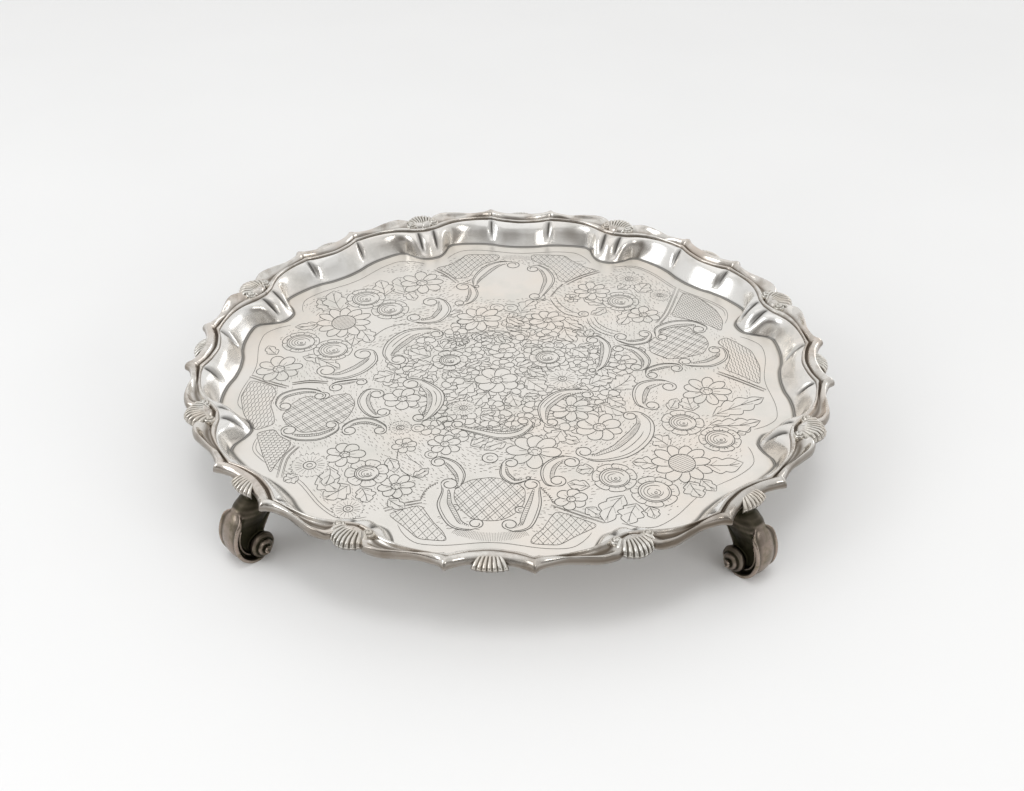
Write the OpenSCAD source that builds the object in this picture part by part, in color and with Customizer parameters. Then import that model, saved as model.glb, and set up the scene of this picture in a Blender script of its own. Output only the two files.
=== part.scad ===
// Silver salver: one raised sheet with a sunk well and a waved wall, edged by a cast
// shell-and-scroll border and standing on four cast scroll feet.
// The origin is on the table under the centre of the well, with +Z up.
// Everything repeats eight times round the border. A unit is centred on a small shell,
// and the large shells cover the joints between the border castings.

/* [Salver] */
// Diameter over the tips of the large shells
overall_d = 346; // [322:1:368]
// Height from the table to the crowns of the large shells
overall_h = 45; // [44:0.5:47]
// Depth of the well below the flange that carries the border
well_depth = 12; // [11.5:0.5:12.5]
// Thickness of the raised sheet
sheet_t = 1; // [0.9:0.1:1.4]

/* [Border] */
// Height of the cast moulding above the flange
moulding_h = 3.5; // [3.2:0.1:4]
// How far the moulding's outer lip hangs below the flange
lip_drop = 1.4; // [1.3:0.1:2]
// Number of flutes in a large shell
large_flutes = 9; // [7:2:11]
// Number of flutes in a small shell
small_flutes = 7; // [5:2:9]

/* [Feet] */
// How far the centre of a foot's volute stands in from the tips of the large shells
foot_inset = 7.6; // [7:0.2:9]
// Width of the scrolled band
band_w = 11.4; // [10:0.2:13]
// Thickness of the scrolled band
band_t = 2.4; // [2:0.1:3]
// Overall width over the two whorls
whorl_w = 24; // [20:1:26]

/* [Hidden] */
units = 8;
unit_a = 360 / units;
half_a = unit_a / 2;
feet = 4;

silver = [0.80, 0.79, 0.77];
shell_silver = [0.74, 0.73, 0.70];
foot_silver = [0.45, 0.41, 0.34];

// Radii are shares of rim_r, the radius that the wave of the border runs about.
large_tip = 0.989;
rim_r = overall_d / 2 / large_tip;
crown_over_crest = 1;
flange_z = overall_h - crown_over_crest - moulding_h;
well_z = flange_z - well_depth;
flange_share = 0.86; // share of the moulding's width that the sheet's flange fills

// Angle from a small shell, in degrees, against radius.
cusp_a = 6.6;
well_edge = [[0, 0.845], [cusp_a, 0.866], [12, 0.882], [15.5, 0.889], [17.2, 0.872], [19.2, 0.824],
    [20.9, 0.807], [half_a, 0.809]];
rim_inner = [[0, 0.899], [3.3, 0.908], [cusp_a, 0.930], [9, 0.932], [12, 0.930], [15, 0.924],
    [18, 0.908], [20.4, 0.893], [half_a, 0.889]];
rim_outer = [[0, 0.950], [3.3, 0.957], [cusp_a, 0.988], [8.4, 0.966], [11, 0.961], [14, 0.970],
    [17, 0.980], [19, 0.976], [20.8, 0.952], [half_a, 0.936]];

// Half of a unit's stations, in degrees from the small shell.
half_stations = [0, 1.65, 3.3, 4.95, cusp_a, 8.4, 10.5, 12.5, 14.5, 16, 17.2, 18.4, 19.6, 20.9, half_a];
last_half = len(half_stations) - 1;
unit_stations = concat(
    [for (i = [last_half:-1:1]) -half_stations[i]],
    half_stations
);

// The wall's ogee, as shares of its run and rise, from the well's edge to the flange.
wall_ogee = [[0, 0], [0.16, 0.14], [0.32, 0.40], [0.48, 0.67], [0.70, 0.90], [1, 1]];

// The moulding's section from its inner edge to its lip: a share of its width, then the height
// as a share of moulding_h by the cusps, where a bead and a quirk lead to a large roll, and
// beside the large shells, where it opens into a hollow scroll with a raised outer rim.
moulding_top = [[0, 0, 0], [0.03, 0.26, 0.30], [0.11, 0.42, 0.50], [0.20, 0.34, 0.40], [0.27, 0.24, 0.26],
    [0.35, 0.46, 0.20], [0.48, 0.84, 0.20], [0.63, 1, 0.40], [0.79, 0.89, 0.86], [0.92, 0.58, 1],
    [1, 0.15, 0.45]];
hollow_from = 9; // the angle from a small shell where the hollow starts
hollow_full = 18; // and where it is fully open
lip_out = 0.97; // where the lip turns under, as a share of the width
lip_in = 0.885;

function fold(a) = let (m = ((a % unit_a) + unit_a) % unit_a) min(m, unit_a - m);
function ease(t) = t * t * (3 - 2 * t);
function segment(keys, a) = max([for (k = [0:len(keys) - 2]) if (a >= keys[k][0]) k]);
function between(p, q, a) = p[1] + (q[1] - p[1]) * ease((a - p[0]) / (q[0] - p[0]));
function wave(keys, angle) = let (a = fold(angle), k = segment(keys, a))
    rim_r * between(keys[k], keys[k + 1], a);
function polar(r, angle, z) = [r * cos(angle), r * sin(angle), z];
function unit(v) = v / norm(v);

// The sheet's upper surface at one angle, from the well's edge to the flange's edge, as [r, z].
function sheet_top(angle) = let (
    r0 = wave(well_edge, angle),
    r1 = wave(rim_inner, angle),
    r2 = r1 + flange_share * (wave(rim_outer, angle) - r1)
) concat([for (s = wall_ogee) [r0 + s[0] * (r1 - r0), well_z + s[1] * well_depth]], [[r2, flange_z]]);

// The outward normal at point i of a profile, lengthened at corners so that the sheet keeps
// its thickness. The first point lies on the flat well and the last on the flat flange.
function seg_normal(p, q) = let (d = unit(q - p)) [d[1], -d[0]];
function corner_normal(top, i) = let (
    down = [0, -1],
    before = i == 0 ? down : seg_normal(top[i - 1], top[i]),
    after = i == len(top) - 1 ? down : seg_normal(top[i], top[i + 1]),
    n = unit(before + after)
) n / (n * after);
function sheet_under(angle) = let (top = sheet_top(angle))
    [for (i = [0:len(top) - 1]) top[i] + sheet_t * corner_normal(top, i)];

// The border casting's closed section at one angle, as [r, z].
function moulding(angle) = let (
    r1 = wave(rim_inner, angle),
    w = wave(rim_outer, angle) - r1,
    t = (fold(angle) - hollow_from) / (hollow_full - hollow_from),
    hollow = ease(max(0, min(1, t)))
) concat(
    [for (s = moulding_top) [r1 + s[0] * w, flange_z + (s[1] + (s[2] - s[1]) * hollow) * moulding_h]],
    [[r1 + lip_out * w, flange_z - 0.6 * lip_drop], [r1 + lip_in * w, flange_z - lip_drop],
     [r1 + flange_share * w, flange_z]]
);

// Two triangles for each cell of a grid of rows by columns, wound so that the solid is closed.
function cell(a, b, c, d) = [[a, c, b], [a, d, c]];
function grid_faces(rows, columns, wrap_rows, wrap_columns, first = 0) = [
    for (i = [0:rows - (wrap_rows ? 1 : 2)])
        for (j = [0:columns - (wrap_columns ? 1 : 2)])
            let (i2 = (i + 1) % rows, j2 = (j + 1) % columns)
                for (f = cell(first + i * columns + j, first + i * columns + j2,
                              first + i2 * columns + j2, first + i2 * columns + j)) f
];

// A solid of [r, z] sections set at a list of angles, closed by its two end sections.
module swept(sections, angles) {
    n = len(sections[0]);
    rows = len(angles);
    points = [for (i = [0:rows - 1]) for (p = sections[i]) polar(p[0], angles[i], p[1])];
    faces = concat(
        grid_faces(rows, n, false, true),
        [[for (j = [0:n - 1]) j], [for (j = [n - 1:-1:0]) (rows - 1) * n + j]]
    );
    polyhedron(points, faces, convexity = 6);
}

module tray_plate() {
    angles = [for (u = [0:units - 1]) for (i = [0:len(unit_stations) - 2]) u * unit_a + unit_stations[i]];
    rows = len(angles);
    sections = [for (a = angles) concat(sheet_top(a), [for (i = [len(wall_ogee):-1:0]) sheet_under(a)[i]])];
    n = len(sections[0]);
    rim_points = [for (i = [0:rows - 1]) for (p = sections[i]) polar(p[0], angles[i], p[1])];
    top_centre = rows * n;
    under_centre = top_centre + 1;
    points = concat(rim_points, [[0, 0, well_z], [0, 0, well_z - sheet_t]]);
    faces = concat(
        grid_faces(rows, n, true, false),
        [for (i = [0:rows - 1]) [top_centre, ((i + 1) % rows) * n, i * n]],
        [for (i = [0:rows - 1]) [under_centre, i * n + n - 1, ((i + 1) % rows) * n + n - 1]]
    );
    color(silver) polyhedron(points, faces, convexity = 8);
}

module border_casting(i) {
    rotate(i * unit_a) color(shell_silver)
        swept([for (a = unit_stations) moulding(a)], unit_stations);
}

// A scallop shell, as [share of its length, depth below the crown's height] from root to tips.
// Its flutes fan out from half_base to half_tip either side of the middle, and the side flutes
// are shorter than the middle one.
shell_t = 1.5;
flute_rise = 0.45;
flute_fall = 0.25;
side_droop = 0.7;
side_short = 0.24;
fan_power = 0.8;
root_s = 0.2; // up to here the shell's back stays above the flange
crown_z = moulding_h + crown_over_crest; // above the flange
large_line = [[0, 2.8], [0.2, 0.4], [0.45, 0.3], [0.75, 2.4], [1, 5.2]];
small_line = [[0, 1.8], [0.3, 1.5], [0.6, 2.5], [0.8, 3.9], [1, 5.7]];

module scallop(flutes, inner, outer, half_base, half_tip, line) {
    columns = 2 * flutes + 1;
    rows = len(line);
    m = rows * columns;
    function across(j) = 2 * j / (columns - 1) - 1;
    function flute(j, s) = (j % 2 == 1 ? flute_rise : -flute_fall) * min(1, 1.5 * s);
    function height(p) = crown_z - p[1];
    function back(s, z) = s <= root_s ? max(0, z - shell_t) : z - shell_t;
    function fan(t, s, z) = [
        inner + (outer - inner) * s * (1 - side_short * t * t),
        t * (half_base + (half_tip - half_base) * pow(s, fan_power)),
        flange_z + z - side_droop * t * t * s
    ];
    top = [for (p = line) for (j = [0:columns - 1]) fan(across(j), p[0], height(p) + flute(j, p[0]))];
    under = [for (p = line) for (j = [0:columns - 1]) fan(across(j), p[0], back(p[0], height(p)))];
    root_edge = [for (j = [0:columns - 2]) for (f = cell(j, j + 1, m + j + 1, m + j)) f];
    tip_edge = [for (j = [0:columns - 2]) let (e = (rows - 1) * columns + j)
        for (f = cell(e + 1, e, m + e, m + e + 1)) f];
    low_edge = [for (i = [0:rows - 2]) let (e = i * columns)
        for (f = cell(e + columns, e, m + e, m + e + columns)) f];
    high_edge = [for (i = [0:rows - 2]) let (e = i * columns + columns - 1)
        for (f = cell(e, e + columns, m + e + columns, m + e)) f];
    faces = concat(
        [for (f = grid_faces(rows, columns, false, false)) [f[2], f[1], f[0]]],
        grid_faces(rows, columns, false, false, m),
        root_edge, tip_edge, low_edge, high_edge
    );
    polyhedron(concat(top, under), faces, convexity = 6);
}

// The stretch of border that a shell sits on. It is cut from the shell's back, so that the two
// meet face to face.
module border_between(from, to) {
    all = [for (u = [-1:1]) for (i = [0:len(unit_stations) - 2]) u * unit_a + unit_stations[i]];
    angles = [for (a = all) if (a >= from && a <= to) a];
    swept([for (a = angles) moulding(a)], angles);
}

large_root = 0.893;
large_base = 4.6;
large_half = 10.6;
large_seat = 5; // degrees of border under a large shell, either side of its middle
module large_shell(i) {
    rotate((i + 0.5) * unit_a) color(shell_silver) difference() {
        scallop(large_flutes, large_root * rim_r, large_tip * rim_r, large_base, large_half, large_line);
        rotate(-half_a) border_between(half_a - large_seat, half_a + large_seat);
    }
}

small_root = 0.934;
small_tip = 0.98;
small_base = 3;
small_half = 8;
small_seat = 3.5;
module small_shell(i) {
    rotate(i * unit_a) color(shell_silver) difference() {
        scallop(small_flutes, small_root * rim_r, small_tip * rim_r, small_base, small_half, small_line);
        border_between(-small_seat, small_seat);
    }
}

// The foot's band is a growing spiral about the volute's centre. Its lowest point meets the
// table, where a small flat is worn.
foot_reach = overall_d / 2 - foot_inset;
spiral_r0 = 7.56; // radius where the spiral is lowest
spiral_low_a = -65.9; // the angle of that point
spiral_growth = 0.0078; // per degree
spiral_step = 8;
wear_flat = 0.25;
volute_z = -spiral_r0 * sin(spiral_low_a) - wear_flat;
band_start_a = -150; // hidden inside the whorls
band_end_a = 74; // hidden inside the neck
band_angles = [band_start_a:spiral_step:band_end_a];
function spiral(a, inset) = let (r = spiral_r0 * exp(spiral_growth * (a - spiral_low_a)) - inset)
    [foot_reach + r * cos(a), volute_z + r * sin(a)];

// An upright slice of a foot: a profile in [r, z] given a width across the foot.
module slice(profile, width) {
    rotate([90, 0, 0]) translate([0, 0, -width / 2]) linear_extrude(width) polygon(profile);
}
module foot_band() {
    outside = [for (a = band_angles) spiral(a, 0)];
    inside = [for (a = band_angles) spiral(a, band_t)];
    slice(concat(outside, [for (i = [len(inside) - 1:-1:0]) inside[i]]), band_w);
}

// The web fills the scroll behind the band, from the volute up to the sheet. Its back is a list
// of [r from the volute's centre, z].
web_w = 7;
web_inset = 0.8;
web_back = [[1, 33], [-3, flange_z - sheet_t], [-14, flange_z - sheet_t], [-13, 27], [-9, 19], [-6, 11],
    [-5.6, 5]];
module foot_web() {
    slice(concat(
        [for (a = band_angles) spiral(a, web_inset)],
        [for (p = web_back) [foot_reach + p[0], p[1]]]
    ), web_w);
}

// The neck flares up to the sheet in two stages, through rectangles given as
// [z, r of the inner and outer edges from the volute's centre, width].
neck = [[17, -7.5, 4.5, 10], [27, -12.5, 2.5, 16], [overall_h - 4, -15.5, -2, 21]];
neck_step = 0.5;
module neck_rectangle(p) {
    translate([foot_reach + p[1], -p[3] / 2, p[0]]) cube([p[2] - p[1], p[3], neck_step]);
}
module foot_neck() {
    for (k = [0:len(neck) - 2]) hull() {
        neck_rectangle(neck[k]);
        neck_rectangle(neck[k + 1]);
    }
}

// Each side of the volute steps out like a snail's whorl, as [radius, share of whorl_w].
whorl_steps = [[6.2, 0.46], [4.9, 0.62], [3.5, 0.78], [2.2, 0.91], [1.2, 1]];
module foot_whorls() {
    for (s = whorl_steps)
        translate([foot_reach, 0, volute_z]) rotate([90, 0, 0])
            cylinder(r = s[0], h = s[1] * whorl_w, center = true, $fn = 48);
}
// Everything above the sheet's underside near a foot, which is cut from the foot's top so
// that the two meet face to face.
foot_seat = 8.5; // degrees of sheet over a foot, either side of its middle
clear_of_all = 20; // how far the cutters reach past the salver
module above_sheet() {
    angles = [for (a = unit_stations) if (abs(a) <= foot_seat) a];
    top_z = overall_h + clear_of_all;
    outer_r = rim_r + clear_of_all;
    inner_r = foot_reach - 2 * clear_of_all;
    swept([for (a = angles) let (under = sheet_under(a)) concat(
        [[outer_r, top_z], [outer_r, flange_z - sheet_t]],
        [for (k = [len(under) - 1:-1:0]) under[k]],
        [[inner_r, well_z - sheet_t], [inner_r, top_z]]
    )], angles);
}
module below_table() {
    translate([foot_reach - clear_of_all, -clear_of_all, -clear_of_all]) cube(
        [2 * clear_of_all, 2 * clear_of_all, clear_of_all]
    );
}
module scroll_foot(i) {
    rotate(unit_a + i * 360 / feet) color(foot_silver) difference() {
        union() {
            foot_band();
            foot_web();
            foot_neck();
            foot_whorls();
        }
        above_sheet();
        below_table();
    }
}

tray_plate();
for (i = [1:units]) {
    border_casting(i - 1);
    large_shell(i - 1);
    small_shell(i - 1);
}
for (i = [1:feet]) {
    scroll_foot(i - 1);
}
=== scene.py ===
"""Silver salver: the looks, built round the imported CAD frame.

The plate, castings, shells and feet are modelled again at full detail in millimetres and handed to
Blender in metres. The floor of the well carries chased ornament laid out as motifs.
"""
import math
import random

import bmesh
import bpy
import numpy as np
from mathutils import Matrix, Vector


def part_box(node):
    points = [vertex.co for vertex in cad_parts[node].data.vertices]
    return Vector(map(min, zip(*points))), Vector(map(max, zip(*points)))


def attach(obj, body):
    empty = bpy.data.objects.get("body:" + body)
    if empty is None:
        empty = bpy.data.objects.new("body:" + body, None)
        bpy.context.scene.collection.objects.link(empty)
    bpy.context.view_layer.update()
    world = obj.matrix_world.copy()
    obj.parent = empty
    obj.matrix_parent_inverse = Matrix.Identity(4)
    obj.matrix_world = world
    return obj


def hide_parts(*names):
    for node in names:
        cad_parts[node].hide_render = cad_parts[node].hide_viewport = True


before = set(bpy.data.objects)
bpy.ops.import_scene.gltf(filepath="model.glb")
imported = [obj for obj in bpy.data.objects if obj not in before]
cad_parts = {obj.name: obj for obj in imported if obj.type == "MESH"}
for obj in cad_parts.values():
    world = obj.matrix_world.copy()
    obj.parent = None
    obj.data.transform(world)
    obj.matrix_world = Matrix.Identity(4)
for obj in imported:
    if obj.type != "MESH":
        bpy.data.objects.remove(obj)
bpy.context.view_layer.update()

MM = 0.001
UNITS = 8
UNIT_A = 360 / UNITS
HALF_A = UNIT_A / 2

# ---------------------------------------------------------------- the frame's sizes, in mm
tray_lo, tray_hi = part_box("tray_plate")
SHEET_T = 1.0
FLANGE_Z = tray_hi.z / MM
WELL_Z = tray_lo.z / MM + SHEET_T
WELL_DEPTH = FLANGE_Z - WELL_Z
CUSP_A = 6.6            # a cusp's angle from the small shell beside it
CUSP_SHARE = .988       # a cusp's share of the rim's radius
TWIN_A = 20.7           # a twin crease's angle from the small shell, beside a large shell
casting_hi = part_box("border_casting_1")[1]
RIM_R = casting_hi.x / MM / (CUSP_SHARE * math.cos(math.radians(CUSP_A)))
MOULDING_H = 3.5
LIP_DROP = 1.4

# ---------------------------------------------------------------- curves
# Each is a radius, as a share of RIM_R, at angles from a small shell to the cusp and from the cusp to
# a large shell.
WELL_EDGE = [[(0, .845), (3.4, .850), (CUSP_A, .866)],
             [(CUSP_A, .866), (9.5, .8765), (12, .882), (14.2, .886), (15.7, .887), (17.2, .874),
              (18.3, .846), (19.6, .822), (20.9, .809), (HALF_A, .806)]]
RIM_INNER = [[(0, .899), (3.3, .908), (CUSP_A, .930)],
             [(CUSP_A, .930), (9, .9325), (12, .931), (15, .924), (18, .908), (20.4, .893), (HALF_A, .889)]]
RIM_OUTER = [[(0, .950), (3.3, .957), (5.4, .972), (CUSP_A, CUSP_SHARE)],
             [(CUSP_A, CUSP_SHARE), (7.4, .974), (8.6, .966), (11, .961), (14, .970), (17, .980), (19, .976),
              (20.8, .952), (HALF_A, .936)]]


def hermite(xk, yk, x, d0=0.0, d1=0.0):
    """A monotone cubic through the keys, with the given slopes at its ends."""
    xk, yk = np.asarray(xk, float), np.asarray(yk, float)
    h, s = np.diff(xk), np.diff(yk) / np.diff(xk)
    d = np.zeros(len(xk))
    for i in range(1, len(xk) - 1):
        if s[i - 1] * s[i] > 0:
            w1, w2 = 2 * h[i] + h[i - 1], h[i] + 2 * h[i - 1]
            d[i] = (w1 + w2) / (w1 / s[i - 1] + w2 / s[i])
    d[0] = s[0] if d0 is None else d0
    d[-1] = s[-1] if d1 is None else d1
    k = np.clip(np.searchsorted(xk, x, side="right") - 1, 0, len(xk) - 2)
    t = (x - xk[k]) / h[k]
    h00, h10 = 2 * t**3 - 3 * t**2 + 1, t**3 - 2 * t**2 + t
    h01, h11 = -2 * t**3 + 3 * t**2, t**3 - t**2
    return h00 * yk[k] + h10 * h[k] * d[k] + h01 * yk[k + 1] + h11 * h[k] * d[k + 1]


def fold(angle):
    """The angle from the nearest small shell, 0 to HALF_A degrees."""
    m = np.mod(angle, UNIT_A)
    return np.minimum(m, UNIT_A - m)


def wave(keys, angle):
    """A radius in mm that repeats round the border, with a corner at the cusps."""
    a = fold(np.asarray(angle, float))
    near, far = keys
    xn, yn = zip(*near)
    xf, yf = zip(*far)
    low = hermite(xn, yn, np.minimum(a, CUSP_A), 0.0, None)
    high = hermite(xf, yf, np.maximum(a, CUSP_A), None, 0.0)
    return RIM_R * np.where(a <= CUSP_A, low, high)


def smooth(t):
    """Eases from 0 to 1 as t goes from 0 to 1."""
    t = np.clip(t, 0, 1)
    return t * t * (3 - 2 * t)


def bell(x, width):
    """1 where x is 0, falling away to both sides."""
    return np.exp(-(x / width) ** 2)


def arch(t):
    """Half a sine wave as t goes from 0 to 1."""
    return np.sin(np.pi * np.clip(t, 0, 1))


def heading(angle):
    """The cosine and sine of an angle in degrees."""
    return math.cos(math.radians(angle)), math.sin(math.radians(angle))


def circle(n):
    """The angles, in radians, of n even steps round a circle."""
    return np.linspace(0, 2 * math.pi, n + 1)[:-1]


def turned(points, angle):
    """Points turned about the salver's axis."""
    return points @ np.array(Matrix.Rotation(math.radians(angle), 3, "Z")).T


def value_noise(x, y, size, seed):
    """Smooth noise from -1 to 1 with features of about that size."""
    rng = np.random.RandomState(seed)
    table = rng.uniform(-1, 1, (64, 64))
    u, v = np.asarray(x) / size, np.asarray(y) / size
    iu, iv = np.floor(u).astype(int), np.floor(v).astype(int)
    fu, fv = smooth(u - iu), smooth(v - iv)
    a = table[iu % 64, iv % 64]
    b = table[(iu + 1) % 64, iv % 64]
    c = table[iu % 64, (iv + 1) % 64]
    d = table[(iu + 1) % 64, (iv + 1) % 64]
    return (a * (1 - fu) + b * fu) * (1 - fv) + (c * (1 - fu) + d * fu) * fv


def ripple(x, y):
    """The slight unevenness of the hand-raised well, in mm, with none at its very middle."""
    swell = .05 * value_noise(x, y, 31, 3) + .018 * value_noise(x, y, 13, 4)
    return swell * smooth((np.hypot(x, y) - 6) / 14)


# ---------------------------------------------------------------- mesh helpers
def make_object(name, points, faces, materials, face_material=None, shade_smooth=True):
    """A closed mesh object from points in mm, its faces turned outwards. Points are an (n, 3) array."""
    mesh = bpy.data.meshes.new(name)
    mesh.from_pydata((np.asarray(points) * MM).tolist(), [], [list(map(int, f)) for f in faces])
    bm = bmesh.new()
    bm.from_mesh(mesh)
    bmesh.ops.recalc_face_normals(bm, faces=bm.faces)
    bm.to_mesh(mesh)
    bm.free()
    mesh.update()
    if shade_smooth:
        mesh.polygons.foreach_set("use_smooth", [True] * len(mesh.polygons))
    for m in materials:
        mesh.materials.append(m)
    if face_material is not None:
        mesh.polygons.foreach_set("material_index", [int(i) for i in face_material])
    obj = bpy.data.objects.new(name, mesh)
    bpy.context.scene.collection.objects.link(obj)
    return obj


def grid_faces(rows, columns, wrap_rows=False, wrap_columns=False, first=0, flip=False):
    """Quads over a grid of rows by columns of points."""
    i = np.arange(rows if wrap_rows else rows - 1)
    j = np.arange(columns if wrap_columns else columns - 1)
    ii, jj = np.meshgrid(i, j, indexing="ij")
    i2, j2 = (ii + 1) % rows, (jj + 1) % columns
    quads = np.stack([ii * columns + jj, ii * columns + j2, i2 * columns + j2, i2 * columns + jj], -1)
    quads = quads.reshape(-1, 4) + first
    return quads[:, ::-1] if flip else quads


def polar(r, angle, z):
    a = np.radians(angle)
    return np.stack([r * np.cos(a), r * np.sin(a), z + 0 * a], -1)


def add_attribute(obj, name, values):
    """A number for each point, which a material may read."""
    layer = obj.data.attributes.new(name, "FLOAT", "POINT")
    layer.data.foreach_set("value", np.asarray(values, dtype=np.float32))


# ---------------------------------------------------------------- materials
def new_material(name):
    mat = bpy.data.materials.new(name)
    mat.use_nodes = True
    return mat, mat.node_tree, mat.node_tree.nodes["Principled BSDF"]


def feed(tree, value, socket):
    """Links an output to a socket, or sets the socket to a plain number or colour."""
    if hasattr(value, "is_output"):
        tree.links.new(value, socket)
    elif socket.type == "RGBA":
        socket.default_value = (*value, 1)
    else:
        socket.default_value = value


def noise_node(tree, coords, scale, detail, rough):
    n = tree.nodes.new("ShaderNodeTexNoise")
    n.inputs["Scale"].default_value = scale
    n.inputs["Detail"].default_value = detail
    n.inputs["Roughness"].default_value = rough
    tree.links.new(coords, n.inputs["Vector"])
    return n.outputs["Fac"]


def ramp_node(tree, source, stops):
    r = tree.nodes.new("ShaderNodeValToRGB")
    while len(r.color_ramp.elements) < len(stops):
        r.color_ramp.elements.new(0.5)
    for e, (pos, colour) in zip(r.color_ramp.elements, stops):
        e.position = pos
        e.color = (*colour, 1)
    tree.links.new(source, r.inputs["Fac"])
    return r.outputs["Color"]


def mix_node(tree, fac, a, b):
    m = tree.nodes.new("ShaderNodeMix")
    m.data_type = "RGBA"
    feed(tree, fac, m.inputs[0])
    feed(tree, a, m.inputs[6])
    feed(tree, b, m.inputs[7])
    return m.outputs[2]


def math_node(tree, op, a, b, clamp=False):
    m = tree.nodes.new("ShaderNodeMath")
    m.operation = op
    m.use_clamp = clamp
    feed(tree, a, m.inputs[0])
    feed(tree, b, m.inputs[1])
    return m.outputs[0]


def bump_node(tree, height, strength, distance):
    b = tree.nodes.new("ShaderNodeBump")
    b.inputs["Strength"].default_value = strength
    b.inputs["Distance"].default_value = distance
    tree.links.new(height, b.inputs["Height"])
    return b.outputs["Normal"]


def silver(name, clean, warm, dull, tarnish_and_shade_colour, rough, spread, patch, bump):
    """Silver with patches of warm and dull tarnish, more of them where patch is higher, and fine wear in
    its gloss. It is darker and rougher where the mesh's attribute for tarnish and painted shade is near 1."""
    mat, tree, shader = new_material(name)
    coords = tree.nodes.new("ShaderNodeTexCoord").outputs["Object"]
    big = noise_node(tree, coords, patch, 3.0, 0.6)
    mid = noise_node(tree, coords, patch * 3.3, 4.0, 0.6)
    fine = noise_node(tree, coords, 900.0, 3.0, 0.6)
    warmth = ramp_node(tree, big, [(0.46, (0, 0, 0)), (0.68, (1, 1, 1))])
    dullness = ramp_node(tree, mid, [(0.48, (0, 0, 0)), (0.74, (1, 1, 1))])
    attribute = tree.nodes.new("ShaderNodeAttribute")
    attribute.attribute_name = "tarnish_and_shade"
    tarnish_and_shade = attribute.outputs["Fac"]
    colour = mix_node(tree, warmth, clean, warm)
    colour = mix_node(tree, dullness, colour, dull)
    # darker towards the colour of tarnish and painted shade
    tree.links.new(mix_node(tree, tarnish_and_shade, colour, tarnish_and_shade_colour), shader.inputs["Base Color"])
    shader.inputs["Metallic"].default_value = 1.0
    uneven = math_node(tree, "MULTIPLY", mid, spread)
    worn = math_node(tree, "ADD", uneven, rough - spread / 2)
    rougher = math_node(tree, "MULTIPLY", tarnish_and_shade, 0.25)
    tree.links.new(math_node(tree, "ADD", worn, rougher, True), shader.inputs["Roughness"])
    tree.links.new(bump_node(tree, fine, bump, 0.0002), shader.inputs["Normal"])
    return mat


# the fourth colour of each silver is that of its tarnish and painted shade
FLOOR_SILVER = silver("silver_well", (.88, .85, .805), (.90, .83, .755), (.80, .78, .73), (.22, .21, .19),
                      .34, .16, 14.0, .12)
WALL_SILVER = silver("silver_wall", (.86, .845, .82), (.86, .81, .75), (.72, .70, .66), (.06, .055, .048),
                     .21, .12, 20.0, .05)
CAST_SILVER = silver("silver_cast", (.79, .765, .725), (.70, .62, .55), (.46, .41, .36), (.165, .135, .105),
                     .15, .14, 30.0, .10)
SHELL_SILVER = silver("silver_shell", (.84, .82, .775), (.80, .73, .65), (.64, .60, .53), (.17, .15, .12),
                      .24, .14, 40.0, .12)
FOOT_SILVER = silver("silver_foot", (.36, .30, .255), (.43, .335, .28), (.20, .175, .115),
                     (.034, .031, .018), .25, .18, 60.0, .25)

# ---------------------------------------------------------------- the raised sheet
WALL_S = [0, .05, .12, .22, .34, .48, .62, .76, .88, 1]
WALL_Z = [0, .06, .155, .30, .48, .68, .83, .925, .975, 1]
FLANGE_SHARE = .86                  # how much of the castings' width the flange carries
UNDER_OUT, UNDER_DOWN = .75, .85    # the wall's underside, from its upper surface


def crease_depth(angle, s):
    """How far the wall is pushed out at the creases and between them, in mm."""
    a = fold(angle)
    bulge = arch(s)

    def pinch(depth, at, reach, narrow, wide):
        return depth * np.clip(1 - np.abs(a - at) / (narrow + wide * reach), 0, 1) ** .9 * reach

    cusp = pinch(1.9, CUSP_A, arch((s - .12) / .88) ** .6, .12, .72)
    twin = pinch(1.7, TWIN_A, arch((s - .10) / .84) ** .7, .10, .62)
    swell = -.8 * bell(a - HALF_A, 1.1) * bulge - .7 * bell(a - 18.9, .9) * bulge
    scoop = .9 * arch((a - CUSP_A) / 10.5) ** 1.1 * bulge
    shell_scoop = .8 * np.cos(np.pi / 2 * np.clip(a / CUSP_A, 0, 1)) * bulge
    return cusp + twin + swell + scoop + shell_scoop


def wall_point(angle, s):
    """[r, z] on the wall's upper surface, for arrays of angles and shares s of its run."""
    r0, r1 = wave(WELL_EDGE, angle), wave(RIM_INNER, angle)
    r = r0 + s * (r1 - r0)
    z = WELL_Z + WELL_DEPTH * hermite(WALL_S, WALL_Z, s, 1.1, 0.15)
    d = crease_depth(angle, s)
    return r + .8 * d, z - .6 * d


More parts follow.
